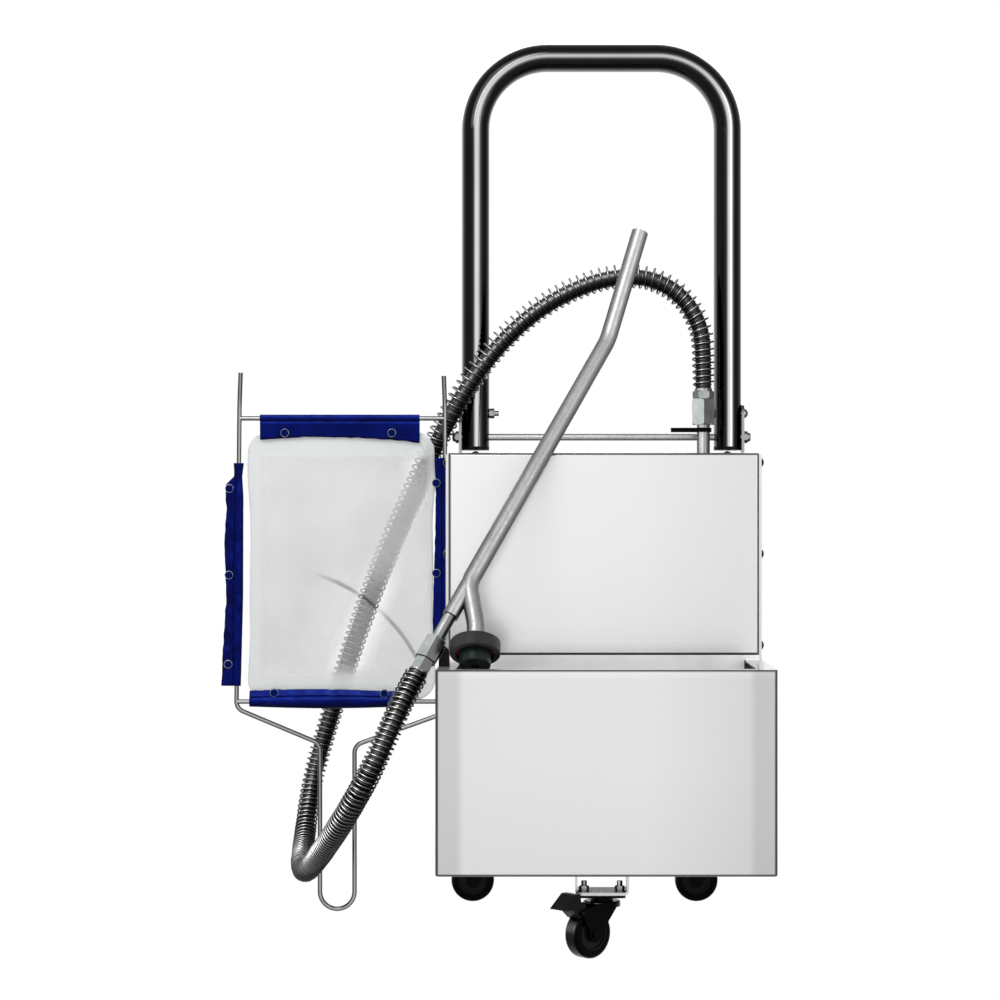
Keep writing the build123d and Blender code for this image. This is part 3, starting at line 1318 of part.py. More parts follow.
if __name__ == "__main__":
    os.makedirs("parts", exist_ok=True)
    all_parts = make_parts()
    shift = frame_shift(all_parts)
    print("shift", round(shift.X, 3), round(shift.Y, 3), round(shift.Z, 3))
    for node, solid in all_parts.items():
        moved = Pos(shift.X, shift.Y, shift.Z) * solid
        export_step(moved, "parts/" + node + ".step")
        print(node, len(moved.solids()), round(moved.volume, 1), moved.is_valid)
    route = hose_route()
    runs = [(b - a).length for a, b in zip(route, route[1:])]
    print("hose length of runs", round(sum(runs), 1))
    for corner, radius in enumerate(route_radii(route), start=1):
        print("hose corner", corner, "arc radius", round(radius, 1))
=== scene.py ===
import bpy
import math
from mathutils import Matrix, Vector, noise


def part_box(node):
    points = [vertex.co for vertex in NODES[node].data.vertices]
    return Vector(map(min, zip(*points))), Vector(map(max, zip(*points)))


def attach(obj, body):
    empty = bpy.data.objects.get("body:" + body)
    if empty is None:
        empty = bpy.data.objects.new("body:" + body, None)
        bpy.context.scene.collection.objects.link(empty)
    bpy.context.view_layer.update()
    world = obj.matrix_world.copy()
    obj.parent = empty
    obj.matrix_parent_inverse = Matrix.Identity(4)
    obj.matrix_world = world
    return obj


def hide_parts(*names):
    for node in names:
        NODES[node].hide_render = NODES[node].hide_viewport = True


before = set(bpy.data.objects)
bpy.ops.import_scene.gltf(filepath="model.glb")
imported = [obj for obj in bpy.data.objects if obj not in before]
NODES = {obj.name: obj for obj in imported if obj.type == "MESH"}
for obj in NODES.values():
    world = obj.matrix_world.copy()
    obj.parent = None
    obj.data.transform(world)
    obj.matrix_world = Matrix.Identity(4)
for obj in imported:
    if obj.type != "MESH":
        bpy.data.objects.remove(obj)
bpy.context.scene.view_settings.view_transform = "Standard"
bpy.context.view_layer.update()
tank_lo, tank_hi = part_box("tank")
CENTRE_X = (tank_lo.x + tank_hi.x) / 2
FRONT_Y = tank_lo.y


def at(x, y, z):
    """A place in cart millimetres, put in the shared frame.

    X is measured from the tank's middle, Y from its front and Z from the floor.
    """
    return Vector((x / 1000 + CENTRE_X, y / 1000 + FRONT_Y, z / 1000))


# ---- Camera, light, floor ---------------------------------------------------------------
def make_camera():
    data = bpy.data.cameras.new("view_camera")
    data.lens = 90.0
    data.sensor_width = 36.0
    data.shift_x = -0.07
    data.shift_y = 0.035
    data.clip_end = 50.0
    camera = bpy.data.objects.new("view_camera", data)
    camera.location = at(-36.5, -2500, 429)
    camera.rotation_euler = (math.pi / 2, 0, 0)
    bpy.context.scene.collection.objects.link(camera)
    bpy.context.scene.camera = camera


def area_lamp(name, place, target, size, power):
    data = bpy.data.lights.new(name, "AREA")
    data.shape = "RECTANGLE"
    data.size, data.size_y = size
    data.energy = power
    lamp = bpy.data.objects.new(name, data)
    lamp.location = place
    lamp.rotation_euler = (Vector(target) - Vector(place)).to_track_quat("-Z", "Y").to_euler()
    bpy.context.scene.collection.objects.link(lamp)


def seen_plainly(nodes, links, shader_in, plain_in, output):
    """White to the camera, in gloss and through glass; the given shader to everything else."""
    path = nodes.new("ShaderNodeLightPath")
    plainly = path.outputs["Is Camera Ray"]
    for ray in ("Is Glossy Ray", "Is Transmission Ray"):
        either = nodes.new("ShaderNodeMath")
        either.operation = "MAXIMUM"
        links.new(plainly, either.inputs[0])
        links.new(path.outputs[ray], either.inputs[1])
        plainly = either.outputs[0]
    mix = nodes.new("ShaderNodeMixShader")
    links.new(plainly, mix.inputs[0])
    links.new(shader_in, mix.inputs[1])
    links.new(plain_in, mix.inputs[2])
    links.new(mix.outputs[0], output)


WHITE = (1, 1, 1, 1)
SKY_LIGHT = 0.55
FLOOR_HALF = 6.0
FLOOR_DROP = 0.0005


def make_world():
    world = bpy.data.worlds.new("studio")
    bpy.context.scene.world = world
    world.use_nodes = True
    nodes, links = world.node_tree.nodes, world.node_tree.links
    nodes.clear()
    light = nodes.new("ShaderNodeBackground")
    light.inputs["Color"].default_value = WHITE
    light.inputs["Strength"].default_value = SKY_LIGHT
    plain = nodes.new("ShaderNodeBackground")
    plain.inputs["Color"].default_value = WHITE
    plain.inputs["Strength"].default_value = 1.0
    out = nodes.new("ShaderNodeOutputWorld")
    seen_plainly(nodes, links, light.outputs[0], plain.outputs[0], out.inputs["Surface"])


def make_floor():
    mesh = bpy.data.meshes.new("floor")
    corners = ((-1, -1), (1, -1), (1, 1), (-1, 1))
    mesh.from_pydata([(x * FLOOR_HALF, y * FLOOR_HALF, 0) for x, y in corners], [], [(0, 1, 2, 3)])
    floor = bpy.data.objects.new("floor", mesh)
    floor.location.z = -FLOOR_DROP
    bpy.context.scene.collection.objects.link(floor)
    material = bpy.data.materials.new("floor_white")
    material.use_nodes = True
    nodes, links = material.node_tree.nodes, material.node_tree.links
    nodes.clear()
    matte = nodes.new("ShaderNodeBsdfDiffuse")
    matte.inputs["Color"].default_value = (0.95, 0.95, 0.95, 1)
    glow = nodes.new("ShaderNodeEmission")
    glow.inputs["Strength"].default_value = 1.0
    out = nodes.new("ShaderNodeOutputMaterial")
    seen_plainly(nodes, links, matte.outputs[0], glow.outputs[0], out.inputs["Surface"])
    mesh.materials.append(material)


make_camera()
make_world()
make_floor()
area_lamp("lamp_key", at(-900, -1500, 1900), at(0, 200, 400), (1.4, 1.4), 26)
area_lamp("lamp_fill", at(1500, -1200, 1000), at(0, 200, 400), (1.2, 1.6), 9)
area_lamp("lamp_back", at(0, 2000, 1700), at(0, 200, 500), (1.6, 1.0), 12)


# ---- Materials --------------------------------------------------------------------------
class Paint:
    """A principled material with object-space noise for its colour, roughness and relief."""

    def __init__(self, name, color, metallic=0.0, roughness=0.5, **sockets):
        self.material = bpy.data.materials.new(name)
        self.material.use_nodes = True
        self.nodes = self.material.node_tree.nodes
        self.links = self.material.node_tree.links
        self.bsdf = self.nodes["Principled BSDF"]
        self.bsdf.inputs["Base Color"].default_value = (*color, 1)
        self.bsdf.inputs["Metallic"].default_value = metallic
        self.bsdf.inputs["Roughness"].default_value = roughness
        for key, value in sockets.items():
            self.bsdf.inputs[key.replace("_", " ")].default_value = value
        self.coords = self.nodes.new("ShaderNodeTexCoord")

    def noise(self, scale, detail):
        """Noise with so many waves to the metre along X, Y and Z."""
        mapping = self.nodes.new("ShaderNodeMapping")
        mapping.inputs["Scale"].default_value = scale
        self.links.new(self.coords.outputs["Object"], mapping.inputs["Vector"])
        texture = self.nodes.new("ShaderNodeTexNoise")
        texture.inputs["Scale"].default_value = 1.0
        texture.inputs["Detail"].default_value = detail
        self.links.new(mapping.outputs[0], texture.inputs["Vector"])
        return texture.outputs["Fac"]

    def mapped(self, value, low, high, start=0.35, end=0.65):
        """The value taken from start..end to low..high."""
        ranges = self.nodes.new("ShaderNodeMapRange")
        ranges.inputs["From Min"].default_value = start
        ranges.inputs["From Max"].default_value = end
        ranges.inputs["To Min"].default_value = low
        ranges.inputs["To Max"].default_value = high
        self.links.new(value, ranges.inputs["Value"])
        return ranges.outputs[0]

    def colors(self, value, low, high, start=0.35, end=0.65):
        """Colour low up to start, high from end on, and a blend between them."""
        ramp = self.nodes.new("ShaderNodeValToRGB")
        ramp.color_ramp.elements[0].position = start
        ramp.color_ramp.elements[1].position = end
        ramp.color_ramp.elements[0].color = (*low, 1)
        ramp.color_ramp.elements[1].color = (*high, 1)
        self.links.new(value, ramp.inputs["Fac"])
        return ramp.outputs["Color"]

    def mixed(self, factor, first, second):
        """Colour first where factor is 0 and second where it is 1; each a socket or a colour."""
        mix = self.nodes.new("ShaderNodeMix")
        mix.data_type = "RGBA"
        self.links.new(factor, mix.inputs[0])
        for value, socket in ((first, mix.inputs[6]), (second, mix.inputs[7])):
            if isinstance(value, tuple):
                socket.default_value = (*value, 1)
            else:
                self.links.new(value, socket)
        return mix.outputs[2]

    def set(self, socket, value):
        self.links.new(value, self.bsdf.inputs[socket])

    def bump(self, value, strength, distance):
        bump = self.nodes.new("ShaderNodeBump")
        bump.inputs["Strength"].default_value = strength
        bump.inputs["Distance"].default_value = distance
        self.links.new(value, bump.inputs["Height"])
        self.links.new(bump.outputs[0], self.bsdf.inputs["Normal"])

    def stops(self, value, places):
        """A colour by value: places are (value, colour or grey) in rising order."""
        low, high = places[0][0], places[-1][0]
        ramp = self.nodes.new("ShaderNodeValToRGB")
        elements = ramp.color_ramp.elements
        for place, _ in places[1:-1]:
            elements.new((place - low) / (high - low))
        for element, (place, color) in zip(elements, places):
            color = color if isinstance(color, tuple) else (color, color, color)
            element.color = (*color, 1)
        self.links.new(self.mapped(value, 0.0, 1.0, low, high), ramp.inputs["Fac"])
        return ramp.outputs["Color"]

    def facing(self, direction):
        """How squarely the surface lies across a direction, from 0 to 1, from front or back."""
        dot = self.nodes.new("ShaderNodeVectorMath")
        dot.operation = "DOT_PRODUCT"
        self.links.new(self.coords.outputs["Normal"], dot.inputs[0])
        dot.inputs[1].default_value = Vector(direction).normalized()
        return self.calc("ABSOLUTE", dot.outputs["Value"])

    def place(self, axis):
        """The object-space coordinate along X, Y or Z."""
        parts = self.nodes.new("ShaderNodeSeparateXYZ")
        self.links.new(self.coords.outputs["Object"], parts.inputs[0])
        return parts.outputs[axis]

    def calc(self, operation, first, second=None):
        """A maths node on one or two values, each a socket or a number."""
        node = self.nodes.new("ShaderNodeMath")
        node.operation = operation
        for value, socket in ((first, node.inputs[0]), (second, node.inputs[1])):
            if isinstance(value, float):
                socket.default_value = value
            elif value is not None:
                self.links.new(value, socket)
        return node.outputs[0]

    def times(self, first, second):
        """Two colours multiplied."""
        mix = self.nodes.new("ShaderNodeMix")
        mix.data_type = "RGBA"
        mix.blend_type = "MULTIPLY"
        mix.inputs[0].default_value = 1.0
        self.links.new(first, mix.inputs[6])
        self.links.new(second, mix.inputs[7])
        return mix.outputs[2]

    def rounded_edges(self):
        """1 on faces that look along an axis and 0 on the rounded edges between them."""
        geometry = self.nodes.new("ShaderNodeNewGeometry")
        absolute = self.nodes.new("ShaderNodeVectorMath")
        absolute.operation = "ABSOLUTE"
        self.links.new(geometry.outputs["True Normal"], absolute.inputs[0])
        parts = self.nodes.new("ShaderNodeSeparateXYZ")
        self.links.new(absolute.outputs[0], parts.inputs[0])
        x, y, z = parts.outputs
        most = self.calc("MAXIMUM", self.calc("MAXIMUM", x, y), z)
        return self.mapped(most, 0.0, 1.0, 0.9, 0.995)


PLAIN_STEEL = (0.7, 0.7, 0.7)
# Painted shade on the rounded edges of the satin panels.
EDGE_SHADE = (0.04, 0.045, 0.045)


def side_stops(places):
    """Stops along X, given in cart millimetres."""
    return [(x / 1000 + CENTRE_X, grey) for x, grey in places]


def height_stops(places):
    """Stops along Z, given in cart millimetres."""
    return [(z / 1000, grey) for z, grey in places]


def paint_panel(name, across, up):
    """Satin sheet: on front and back a painted soft reflection, with painted dark shade lines at its
    edges.
    """
    paint = Paint(name, (0.8, 0.8, 0.8), metallic=0.6, roughness=0.2)
    grain = paint.noise((3, 3, 600), 2.0)
    cloud = paint.noise((3, 3, 2.2), 1.0)
    reflection = paint.times(paint.stops(paint.place(0), side_stops(across)),
                             paint.stops(paint.place(2), height_stops(up)))
    fronts = paint.stops(paint.facing((0.0, -1.0, 0.0)), [(0.85, 0.0), (0.95, 1.0)])
    body = paint.mixed(fronts, PLAIN_STEEL, reflection)
    body = paint.times(body, paint.colors(cloud, (0.96, 0.975, 0.965), (1.0, 0.99, 1.0), 0.3, 0.7))
    paint.set("Base Color", paint.mixed(paint.rounded_edges(), EDGE_SHADE, body))
    paint.set("Roughness", paint.mapped(grain, 0.16, 0.26))
    paint.bump(grain, 0.04, 0.0002)
    return paint.material


def paint_tube(name, direction, places, roughness):
    """Bright tube or wire: a painted reflection and highlight by how squarely it faces, with fine
    lengthwise grain.
    """
    paint = Paint(name, (0.4, 0.4, 0.4), metallic=1.0, roughness=roughness)
    grain = paint.noise((260, 260, 18), 3.0)
    cloud = paint.noise((14, 14, 9), 2.0)
    shade = paint.colors(cloud, (0.86, 0.86, 0.85), (1.0, 1.0, 1.0), 0.3, 0.7)
    paint.set("Base Color", paint.times(paint.stops(paint.facing(direction), places), shade))
    paint.set("Roughness", paint.mapped(grain, roughness * 0.75, roughness * 1.3))
    paint.bump(grain, 0.1, 0.0003)
    return paint.material


def paint_flats(name):
    """Turned or hexagonal steel: painted bright where it faces the light, painted dark where it
    turns away.
    """
    paint = Paint(name, (0.5, 0.5, 0.5), metallic=1.0, roughness=0.22)
    cloud = paint.noise((60, 60, 60), 3.0)
    body = paint.stops(paint.facing((-0.35, -0.9, 0.25)),
                       [(0.0, 0.03), (0.4, 0.06), (0.7, 0.13), (0.86, 0.3),
                        (0.94, (0.62, 0.66, 0.64)), (1.0, (0.78, 0.82, 0.8))])
    body = paint.times(body, paint.colors(cloud, (0.75, 0.78, 0.77), (1.0, 1.0, 1.0), 0.3, 0.6))
    paint.set("Base Color", body)
    paint.set("Roughness", paint.mapped(cloud, 0.16, 0.3))
    paint.bump(cloud, 0.1, 0.0003)
    return paint.material


def paint_solid(name, low, high, roughness, relief=0.15, metallic=0.0, **sockets):
    """Moulded plastic, rubber or paint: two close tones and a fine pebble."""
    paint = Paint(name, high, metallic=metallic, roughness=roughness, **sockets)
    pebble = paint.noise((500, 500, 500), 2.0)
    cloud = paint.noise((22, 22, 22), 3.0)
    paint.set("Base Color", paint.colors(cloud, low, high))
    paint.set("Roughness", paint.mapped(cloud, roughness * 0.8, roughness * 1.2))
    paint.bump(pebble, relief, 0.0003)
    return paint.material


def paint_vinyl():
    """Royal blue coated cloth: painted shade in its folds, with a painted shine above its rolls."""
    paint = Paint("blue_vinyl", (0.001, 0.007, 0.14), roughness=0.32, Specular_IOR_Level=0.04)
    fold = paint.noise((30, 30, 60), 4.0)
    weave = paint.noise((900, 900, 900), 1.0)
    # The stops paint shade where the cloth turns away and a shine where it faces up and forward.
    shine = paint.stops(paint.facing((0.25, -0.82, 0.5)),
                        [(0.0, (0.0002, 0.001, 0.015)), (0.6, (0.0004, 0.0025, 0.055)),
                         (0.85, (0.0008, 0.006, 0.13)), (0.955, (0.0025, 0.015, 0.24)),
                         (1.0, (0.03, 0.08, 0.5))])
    # Painted shade: darker patches from the fold noise stand for the shade in its folds.
    shade = paint.colors(fold, (0.45, 0.5, 0.6), (1.0, 1.0, 1.0), 0.3, 0.6)
    paint.set("Base Color", paint.times(shine, shade))
    paint.set("Roughness", paint.mapped(fold, 0.25, 0.42))
    paint.bump(weave, 0.12, 0.0002)
    return paint.material


THREADS_PER_METRE = 290.0
CREASE_CENTRE = at(-383.6, 0, 199.2)
CREASE_R = 0.1932
# A place on the stretch of hose behind the cloth, and how far the hose runs in X for a rise in Z.
HOSE_BEHIND = at(-291, 0, 277)
HOSE_SLOPE = 0.374


def paint_threads(paint):
    """1 on the cloth's threads and 0 in the gaps between them."""
    threads = []
    for axis in ("X", "Z"):
        wave = paint.nodes.new("ShaderNodeTexWave")
        wave.wave_type = "BANDS"
        wave.bands_direction = axis
        wave.inputs["Scale"].default_value = THREADS_PER_METRE
        wave.inputs["Distortion"].default_value = 0.6
        paint.links.new(paint.coords.outputs["Object"], wave.inputs["Vector"])
        threads.append(wave.outputs["Fac"])
    return paint.calc("MAXIMUM", *threads)


def paint_hem(paint):
    """1 along the cloth's doubled edges and 0 inside them."""
    sides = paint.stops(paint.place(0), side_stops(
        [(-405, 1.0), (-392, 0.8), (-384, 0.0), (-202, 0.0), (-197, 0.5), (-190, 1.0)]))
    ends = paint.stops(paint.place(2), height_stops(
        [(240, 1.0), (262, 0.9), (272, 0.0), (514, 0.0), (520, 0.8), (548, 1.0)]))
    return paint.calc("MAXIMUM", sides, ends)


def paint_crease(paint):
    """Painted shade along one long crease, an arc across the cloth's lower half, and white
    elsewhere.
    """
    across = paint.calc("SUBTRACT", paint.place(0), CREASE_CENTRE.x)
    up = paint.calc("SUBTRACT", paint.place(2), CREASE_CENTRE.z)
    reach = paint.calc("SQRT", paint.calc("ADD", paint.calc("MULTIPLY", across, across),
                                          paint.calc("MULTIPLY", up, up)))
    crease = paint.stops(reach, [(CREASE_R - 0.003, 1.0), (CREASE_R - 0.0005, 0.3),
                                 (CREASE_R + 0.0005, 0.3), (CREASE_R + 0.004, 1.0)])
    sides = paint.stops(paint.place(0), side_stops([(-330, 0.0), (-300, 1.0), (-214, 1.0),
                                                    (-196, 0.0)]))
    ends = paint.stops(paint.place(2), height_stops([(276, 0.0), (285, 1.0), (390, 1.0),
                                                     (400, 0.0)]))
    return paint.mixed(paint.calc("MULTIPLY", sides, ends), (1.0, 1.0, 1.0), crease)


def paint_clear(paint):
    """How clearly the hose behind the cloth shows through it, from 0 to 1."""
    across = paint.calc("SUBTRACT", paint.place(0), HOSE_BEHIND.x)
    up = paint.calc("SUBTRACT", paint.place(2), HOSE_BEHIND.z)
    beside = paint.calc("ABSOLUTE", paint.calc(
        "SUBTRACT", across, paint.calc("MULTIPLY", up, HOSE_SLOPE)))
    by_height = paint.stops(paint.place(2), height_stops(
        [(268, 0.2), (282, 1.0), (365, 1.0), (410, 0.25), (480, 0.2), (512, 0.8), (540, 0.6)]))
    return paint.calc("MULTIPLY", paint.stops(beside, [(0.012, 1.0), (0.03, 0.0)]), by_height)


def paint_mesh_cloth():
    """Fine woven filter cloth: threads over gaps, a thicker hem, and painted shade along one long
    crease.
    """
    paint = Paint("filter_cloth", (0.6, 0.6, 0.6), roughness=0.75, Specular_IOR_Level=0.1)
    threads = paint_threads(paint)
    hem = paint_hem(paint)
    cloud = paint.noise((13, 13, 13), 3.0)
    body = paint.colors(cloud, (0.73, 0.725, 0.735), (0.85, 0.845, 0.855), 0.3, 0.7)
    body = paint.mixed(hem, body, (0.88, 0.9, 0.9))
    # The crease darkens the cloth with painted shade.
    paint.set("Base Color", paint.times(body, paint_crease(paint)))
    cover = paint.calc("MULTIPLY", paint.mapped(threads, 0.22, 0.38, 0.2, 0.95),
                       paint.stops(paint_clear(paint), [(0.0, 1.0), (1.0, 0.35)]))
    paint.set("Alpha", paint.calc("ADD", cover, paint.calc("MULTIPLY", hem, 0.2)))
    paint.bump(threads, 0.15, 0.0003)
    return paint.material


# Bright metal shows its painted highlight where it faces this way, a little to the right of the
# camera.
FRONT = (0.12, -0.99, 0.0)
# The stops along X and Z paint each panel's reflection as a soft gradient; on the tank and housing
# they also paint dark shade lines at the edges, and on the tank a bright line at its rim.
TANK_PANEL = paint_panel(
    "tank_sheet",
    [(-172, 0.03), (-169.5, 0.05), (-168.5, 0.62), (-150, 0.62), (-143, 0.78), (40, 0.79),
     (120, 0.71), (143, 0.68), (150, 0.56), (168, 0.57), (169.5, 0.05), (172, 0.03)],
    [(87, 0.05), (88.6, 0.08), (90, 0.9), (200, 0.96), (285, 0.96), (287, 1.0), (291.5, 1.03),
     (292.8, 0.12), (294, 0.08)])
HOUSING_PANEL = paint_panel(
    "housing_sheet",
    [(-168, 0.03), (-166, 0.05), (-165, 0.85), (-90, 0.83), (40, 0.79), (140, 0.71),
     (165.5, 0.7), (166.3, 0.05), (168, 0.03)],
    [(299, 0.04), (301.6, 0.06), (302.4, 1.12), (360, 1.08), (514, 1.05), (516.2, 1.05),
     (516.8, 0.1), (518, 0.06)])
STEEL_PANEL = paint_panel("satin_sheet", [(-172, 0.8), (172, 0.76)], [(80, 0.9), (520, 1.0)])
DECK_SHEET = paint_solid("deck_sheet", (0.86, 0.85, 0.86), (0.93, 0.92, 0.93), 0.5,
                         metallic=0.25)
# Each tube's stops paint its reflection by how squarely it faces: dark where it turns away, a
# painted highlight or glint where it faces the given direction.
HANDLE = paint_tube("polished_handle", FRONT,
                    [(0.0, 0.3), (0.25, 0.2), (0.5, 0.04), (0.62, 0.013), (0.9, 0.01),
                     (0.962, 0.025), (0.982, 0.15), (0.993, 0.6), (1.0, 0.8)], 0.08)
WAND = paint_tube("satin_wand", (-0.03, -0.99, 0.05),
                  [(0.0, 0.05), (0.3, 0.09), (0.55, 0.15), (0.8, 0.32), (0.93, 0.47),
                   (1.0, 0.54)], 0.35)
WIRE = paint_tube("bright_wire", FRONT,
                  [(0.0, 0.012), (0.5, 0.012), (0.8, 0.05), (0.95, 0.26), (1.0, 0.45)], 0.2)
SPRING = paint_tube("spring_wire", (-0.2, -0.85, 0.45),
                    [(0.0, 0.006), (0.5, 0.015), (0.75, 0.05), (0.92, 0.28), (1.0, 0.7)], 0.2)
RIB = paint_tube("hose_ribs", (-0.2, -0.9, 0.35),
                 [(0.0, 0.004), (0.6, 0.012), (0.85, 0.06), (0.96, 0.2), (1.0, 0.35)], 0.25)
ZINC = paint_flats("zinc_flats")
# The stops paint a bright reflection on the snap's rounded rim; its flat centre keeps the blue of
# the cloth.
SNAP = paint_tube("snap_ring", (0.0, -1.0, 0.0),
                  [(0.0, 0.02), (0.3, 0.12), (0.7, 0.45), (0.9, 0.3), (0.97, (0.003, 0.01, 0.1)),
                   (1.0, (0.002, 0.008, 0.09))], 0.2)
CHANNEL = paint_tube("channel_steel", FRONT,
                     [(0.0, 0.03), (0.4, 0.06), (0.8, 0.3), (0.97, 0.6), (1.0, 0.7)], 0.25)
BLACK = paint_solid("black_plastic", (0.002, 0.002, 0.002), (0.007, 0.007, 0.007), 0.35,
                    Specular_IOR_Level=0.08)
BLACK_STEEL = paint_tube("black_enamel", (-0.45, -0.7, 0.55),
                         [(0.0, 0.002), (0.8, 0.004), (0.93, 0.02), (0.985, 0.25),
                          (1.0, 0.6)], 0.12)
TYRE = paint_tube("black_tread", (-0.6, -0.7, 0.35),
                  [(0.0, 0.002), (0.85, 0.003), (0.96, 0.02), (0.992, 0.12), (1.0, 0.3)], 0.3)
HOSE = paint_tube("hose_cover", (-0.2, -0.9, 0.35),
                  [(0.0, 0.004), (0.6, 0.006), (0.85, 0.02), (0.96, 0.09), (1.0, 0.22)], 0.3)
BELL = paint_solid("bell_rubber", (0.026, 0.025, 0.025), (0.046, 0.044, 0.044), 0.45,
                   Specular_IOR_Level=0.12)
RED_SEAL = paint_solid("red_seal", (0.2, 0.012, 0.016), (0.4, 0.03, 0.035), 0.4,
                       Specular_IOR_Level=0.1)
CORE = paint_solid("dark_core", (0.004, 0.009, 0.008), (0.012, 0.022, 0.019), 0.3,
                   Specular_IOR_Level=0.12)
CASTING = paint_solid("grey_casting", (0.12, 0.13, 0.14), (0.2, 0.21, 0.22), 0.55, relief=0.3)
MACHINED = paint_tube("machined_steel", FRONT, [(0.0, 0.35), (0.6, 0.45), (1.0, 0.6)], 0.3)
VINYL = paint_vinyl()
CLOTH = paint_mesh_cloth()

LOOKS = {
    "tank": TANK_PANEL, "deck_plate": DECK_SHEET, "pump_housing": HOUSING_PANEL,
    "rear_panel": STEEL_PANEL, "side_panels": STEEL_PANEL, "panel_screws": BLACK_STEEL,
    "power_inlet": BLACK, "power_switch": RED_SEAL, "handle_tube": HANDLE,
    "handle_plugs": BLACK, "handle_brackets": WIRE, "cross_rod": WAND, "cap_nuts": WIRE,
    "handle_bolts": WIRE, "handle_nuts": WIRE, "motor_casing": CASTING,
    "motor_rotor": MACHINED, "drive_gear": MACHINED, "driven_gear": MACHINED,
    "pump_body": CASTING, "suction_pipe": MACHINED, "outlet_pipe": ZINC, "valve_lever": BLACK_STEEL,
    "outlet_union_nut": ZINC, "outlet_hose_ferrule": ZINC, "wand_tube": WAND,
    "wand_inlet_sleeve": WAND, "wand_nipple": ZINC, "wand_union_nut": ZINC,
    "wand_hose_ferrule": ZINC, "wand_bell": BELL, "bell_seal": RED_SEAL, "bell_core": CORE,
    "wand_rest": BLACK, "filter_frame_wire": WIRE, "frame_cross_wires": WIRE,
    "bag_snaps": SNAP, "caster_brackets": CHANNEL, "caster_plates": BLACK_STEEL,
    "caster_bolts": ZINC, "brake_pedal": BLACK,
}
for caster in ("front", "rear_left", "rear_right"):
    LOOKS["caster_fork_" + caster] = BLACK_STEEL
    LOOKS["caster_axle_" + caster] = BLACK_STEEL
    LOOKS["caster_hub_" + caster] = BLACK
    LOOKS["caster_tyre_" + caster] = TYRE
SMOOTH_ANGLE = math.radians(28)
for name, material in LOOKS.items():
    mesh = NODES[name].data
    mesh.materials.clear()
    mesh.materials.append(material)
    mesh.shade_smooth()
    mesh.set_sharp_from_angle(angle=SMOOTH_ANGLE)


def add_piece(name, vertices, faces, material, body, nodes=(), thickness=0.0):
    """A smooth mesh piece that rides on a body and stands for some CAD nodes."""
    mesh = bpy.data.meshes.new(name)
    mesh.from_pydata([tuple(v) for v in vertices], [], faces)
    mesh.materials.append(material)
    mesh.shade_smooth()
    piece = bpy.data.objects.new(name, mesh)
    bpy.context.scene.collection.objects.link(piece)
    if thickness:
        solid = piece.modifiers.new("thickness", "SOLIDIFY")
        solid.thickness = thickness
        solid.offset = 0.0
    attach(piece, body)
    if nodes:
        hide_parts(*nodes)
    return piece


# ---- Hose and its spring guard ----------------------------------------------------------
HOSE_OD = 0.018
WAND_DIRECTION = Vector((0.425, 0.477, 0.769)).normalized()
HOSE_END = Vector((-191.93, 47.68, 287.93))
HOSE_STRAIGHT = 30


def hose_points():
    """The hose's route, the same points as the part's source, from the cart to the wand."""
    points = [
        (116.6, 370, 597), (116.6, 370, 630), (114.5, 370, 667), (93.5, 370, 703.5),
        (57, 370, 724.8), (12, 370, 725.4), (-33, 370, 710.5), (-79, 370, 684),
        (-120, 370, 645), (-156, 370.3, 597), (-186, 376, 544), (-213, 391, 484),
        (-243, 407, 420), (-272, 425, 352), (-296, 440, 286), (-316, 452, 226),
        (-331, 457, 178), (-341, 453, 137.5), (-345, 438, 100.5), (-346, 410, 72.5),
        (-344.5, 373, 58), (-340, 330, 57.5), (-331, 262, 58.5), (-319.5, 192, 68),
        (-303, 125, 88), (-281, 70, 118), (-258, 33, 154), (-236, 16.5, 193),
        (-217.5, 20.5, 234), tuple(HOSE_END - WAND_DIRECTION * HOSE_STRAIGHT), tuple(HOSE_END),
    ]
    return [at(*p) for p in points]


def nurbs_curve(name, points, radius):
    """A smooth curve through the stretch between the points, round and of one thickness."""
    data = bpy.data.curves.new(name, "CURVE")
    data.dimensions = "3D"
    data.resolution_u = 24
    data.bevel_depth = radius
    data.bevel_resolution = 6
    spline = data.splines.new("NURBS")
    spline.points.add(len(points) - 1)
    for point, place in zip(spline.points, points):
        point.co = (*place, 1)
    spline.order_u = 3
    spline.use_endpoint_u = True
    curve = bpy.data.objects.new(name, data)
    bpy.context.scene.collection.objects.link(curve)
    return curve


def centreline(points):
    """Points along the smooth curve, evenly fine, read from the curve without its thickness."""
    curve = nurbs_curve("hose_line", points, 0.0)
    bpy.context.view_layer.update()
    mesh = bpy.data.meshes.new_from_object(curve)
    line = [v.co.copy() for v in mesh.vertices]
    bpy.data.meshes.remove(mesh)
    bpy.data.objects.remove(curve)
    return line


def arc_lengths(line):
    """The distance along the line at each of its points."""
    lengths = [0.0]
    for a, b in zip(line, line[1:]):
        lengths.append(lengths[-1] + (b - a).length)
    return lengths


def along(line, lengths, s, hint):
    """The point and direction at distance s along the line, and the stretch they are on.

    hint is the stretch found last, from which the search goes on.
    """
    i = hint
    while i < len(lengths) - 2 and lengths[i + 1] < s:
        i += 1
    span = lengths[i + 1] - lengths[i]
    share = (s - lengths[i]) / span if span else 0.0
    return line[i].lerp(line[i + 1], share), (line[i + 1] - line[i]).normalized(), i


def between(knots, share):
    """The value at share, on straight lines between (share, value) knots."""
    for (a, low), (b, high) in zip(knots, knots[1:]):
        if share <= b:
            return low + (high - low) * (share - a) / (b - a)
    return knots[-1][1]


GUARD_WIRE_R = 0.0011
